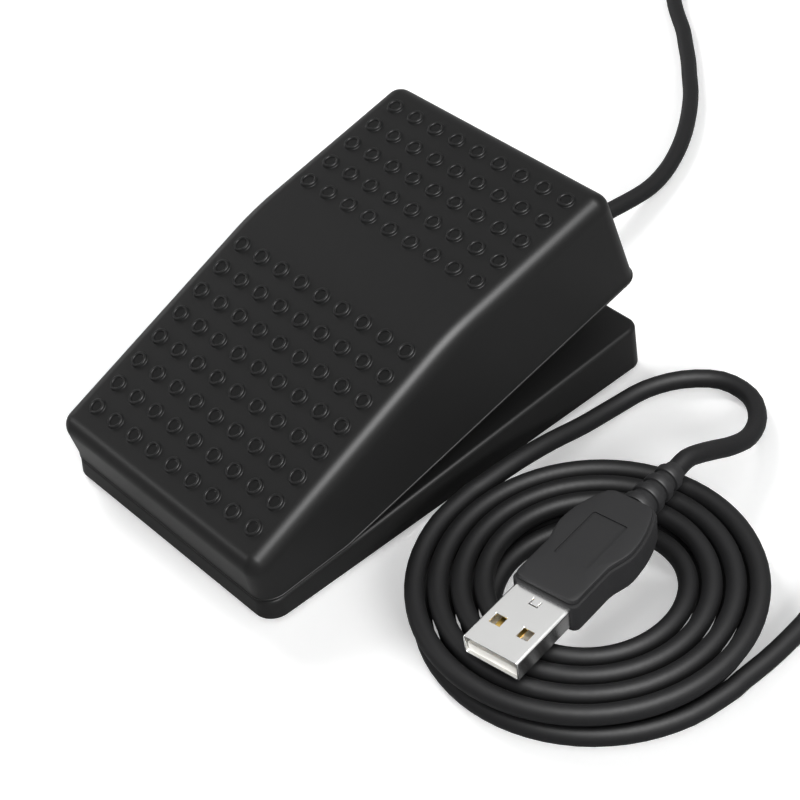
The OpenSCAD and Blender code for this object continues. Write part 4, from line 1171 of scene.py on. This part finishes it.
class FOOTPEDAL_OT_finishes(bpy.types.Operator):
    """Give the solids that show as they are the finish of their real material"""

    bl_idname = "foot_pedal.finishes"
    bl_label = "Finishes of plain solids"

    def execute(self, context):
        solids = {
            "moulded ABS": ["bottom_plate"],
            "zinc plated steel": ["bottom_screws", "hinge_pin", "pin_clips", "board_screws"],
            "pressed rubber": ["rubber_feet"],
            "filled polyester": ["switch_case"],
            "spring steel": ["switch_lever"],
            "acetal": ["switch_plunger"],
            "flashed brass": ["switch_terminals", "plug_contacts"],
            "solder mask": ["circuit_board"],
            "moulding compound": ["controller_chip"],
            "fired ceramic": ["board_components"],
            "white polymer": ["plug_tongue"],
        }
        for finish, nodes in solids.items():
            for node in nodes:
                mesh = frame["nodes"][node].data
                mesh.materials.clear()
                mesh.materials.append(finishes()[finish])
        return {"FINISHED"}


class FOOTPEDAL_OT_stage(bpy.types.Operator):
    """Set the white floor, the soft lamps and the pale surroundings"""

    bl_idname = "foot_pedal.stage"
    bl_label = "Stage"

    def execute(self, context):
        self.floor()
        self.world(context)
        # Key and fill light the colours and aren't mirrored. The other three only give sheen.
        self.lamp("Key", (-0.72, 0.1, 0.68), (0.3, 0.3), 4.8, "visible_glossy")
        self.lamp("Fill", (0.75, -0.15, 0.3), (0.4, 0.3), 4.8, "visible_glossy")
        self.lamp("Side", (0.29, -0.03, 0.58), (0.36, 0.34), 46.0, "visible_diffuse")
        self.lamp("Left", (-0.75, 0.02, 0.3), (0.4, 0.16), 1.8, "visible_diffuse")
        self.lamp("Front", (-0.6, -0.55, 0.43), (0.3, 0.15), 4.6, "visible_diffuse")
        context.scene.view_settings.view_transform = "Standard"
        return {"FINISHED"}

    def floor(self):
        bm = bmesh.new()
        bmesh.ops.create_grid(bm, x_segments=1, y_segments=1, size=3.0)
        obj = add_object("floor", mesh_of("floor", bm))
        # White paper that glows for the camera, less round the object than further off.
        material = bpy.data.materials.new("white paper")
        tree = empty_tree(material)
        place = add_node(tree, "ShaderNodeTexCoord").outputs["Object"]
        away = add_node(tree, "ShaderNodeVectorMath", {"operation": "LENGTH"}, {0: place})
        white = add_node(
            tree, "ShaderNodeMapRange", {"From Min": 0.3, "From Max": 0.9, "To Min": 0.4, "To Max": 0.75},
            {"Value": away.outputs["Value"]},
        )
        shown = add_node(
            tree, "ShaderNodeMath", {"operation": "MULTIPLY"},
            {0: self.seen(tree, mirrored=0.3), 1: white.outputs["Result"]},
        )
        paper = add_node(tree, "ShaderNodeBsdfDiffuse", {"Color": linear("#f2f2f2")})
        glow = add_node(tree, "ShaderNodeEmission", {"Color": (1, 1, 1, 1)}, {"Strength": shown.outputs[0]})
        both = add_node(tree, "ShaderNodeAddShader", (), {0: paper.outputs[0], 1: glow.outputs[0]})
        add_node(tree, "ShaderNodeOutputMaterial", (), {"Surface": both.outputs[0]})
        obj.data.materials.append(material)

    def seen(self, tree, mirrored):
        """One for the camera, a share for reflections and clear materials, nothing for other light."""
        path = add_node(tree, "ShaderNodeLightPath").outputs
        through = add_node(
            tree, "ShaderNodeMath", {"operation": "MAXIMUM"},
            {0: path["Is Glossy Ray"], 1: path["Is Transmission Ray"]},
        )
        part = add_node(
            tree, "ShaderNodeMath", {"operation": "MULTIPLY", 1: mirrored}, {0: through.outputs[0]}
        )
        both = add_node(
            tree, "ShaderNodeMath", {"operation": "MAXIMUM"},
            {0: path["Is Camera Ray"], 1: part.outputs[0]},
        )
        return both.outputs[0]

    def world(self, context):
        context.scene.world = bpy.data.worlds.new("Surroundings")
        tree = empty_tree(context.scene.world)
        strength = add_node(
            tree, "ShaderNodeMapRange", {"To Min": 0.38, "To Max": 1.0},
            {"Value": self.seen(tree, mirrored=1.0)},
        )
        sky = add_node(
            tree, "ShaderNodeBackground", {"Color": (1, 1, 1, 1)}, {"Strength": strength.outputs[0]}
        )
        add_node(tree, "ShaderNodeOutputWorld", (), {"Surface": sky.outputs[0]})

    def lamp(self, name, place, size, power, hidden):
        """A soft lamp that faces the object and is hidden from one kind of light."""
        lamp = bpy.data.lights.new(name, "AREA")
        lamp.shape = "RECTANGLE"
        lamp.size, lamp.size_y = size
        lamp.energy = power
        obj = add_object(name, lamp)
        obj.location = place
        aim = Vector((0, 0, 0.02)) - Vector(place)
        obj.rotation_euler = aim.to_track_quat("-Z", "Y").to_euler()
        setattr(obj, hidden, False)


class FOOTPEDAL_PT_panel(bpy.types.Panel):
    """Lists the pieces and their sizes"""

    bl_idname = "FOOTPEDAL_PT_panel"
    bl_label = "Foot pedal"
    bl_space_type = "VIEW_3D"
    bl_region_type = "UI"
    bl_category = "Foot pedal"

    def draw(self, context):
        for operator in OPERATORS:
            self.layout.operator(operator.bl_idname)
        for name, group in SIZES.items():
            box = self.layout.box()
            box.label(text=group.__doc__)
            for key in group.__annotations__:
                box.prop(getattr(context.scene, name), key)


OPERATORS = (
    FOOTPEDAL_OT_camera,
    FOOTPEDAL_OT_plug,
    FOOTPEDAL_OT_cord,
    FOOTPEDAL_OT_outlet,
    FOOTPEDAL_OT_cover,
    FOOTPEDAL_OT_base,
    FOOTPEDAL_OT_spring,
    FOOTPEDAL_OT_finishes,
    FOOTPEDAL_OT_stage,
)


def register():
    for name, group in SIZES.items():
        bpy.utils.register_class(group)
        setattr(bpy.types.Scene, name, bpy.props.PointerProperty(type=group))
    for operator in OPERATORS:
        bpy.utils.register_class(operator)
    bpy.utils.register_class(FOOTPEDAL_PT_panel)


def unregister():
    bpy.utils.unregister_class(FOOTPEDAL_PT_panel)
    for operator in reversed(OPERATORS):
        bpy.utils.unregister_class(operator)
    for name, group in SIZES.items():
        delattr(bpy.types.Scene, name)
        bpy.utils.unregister_class(group)


def main():
    register()
    for operator in OPERATORS:
        group, name = operator.bl_idname.split(".")
        getattr(getattr(bpy.ops, group), name)()


if __name__ == "__main__":
    main()
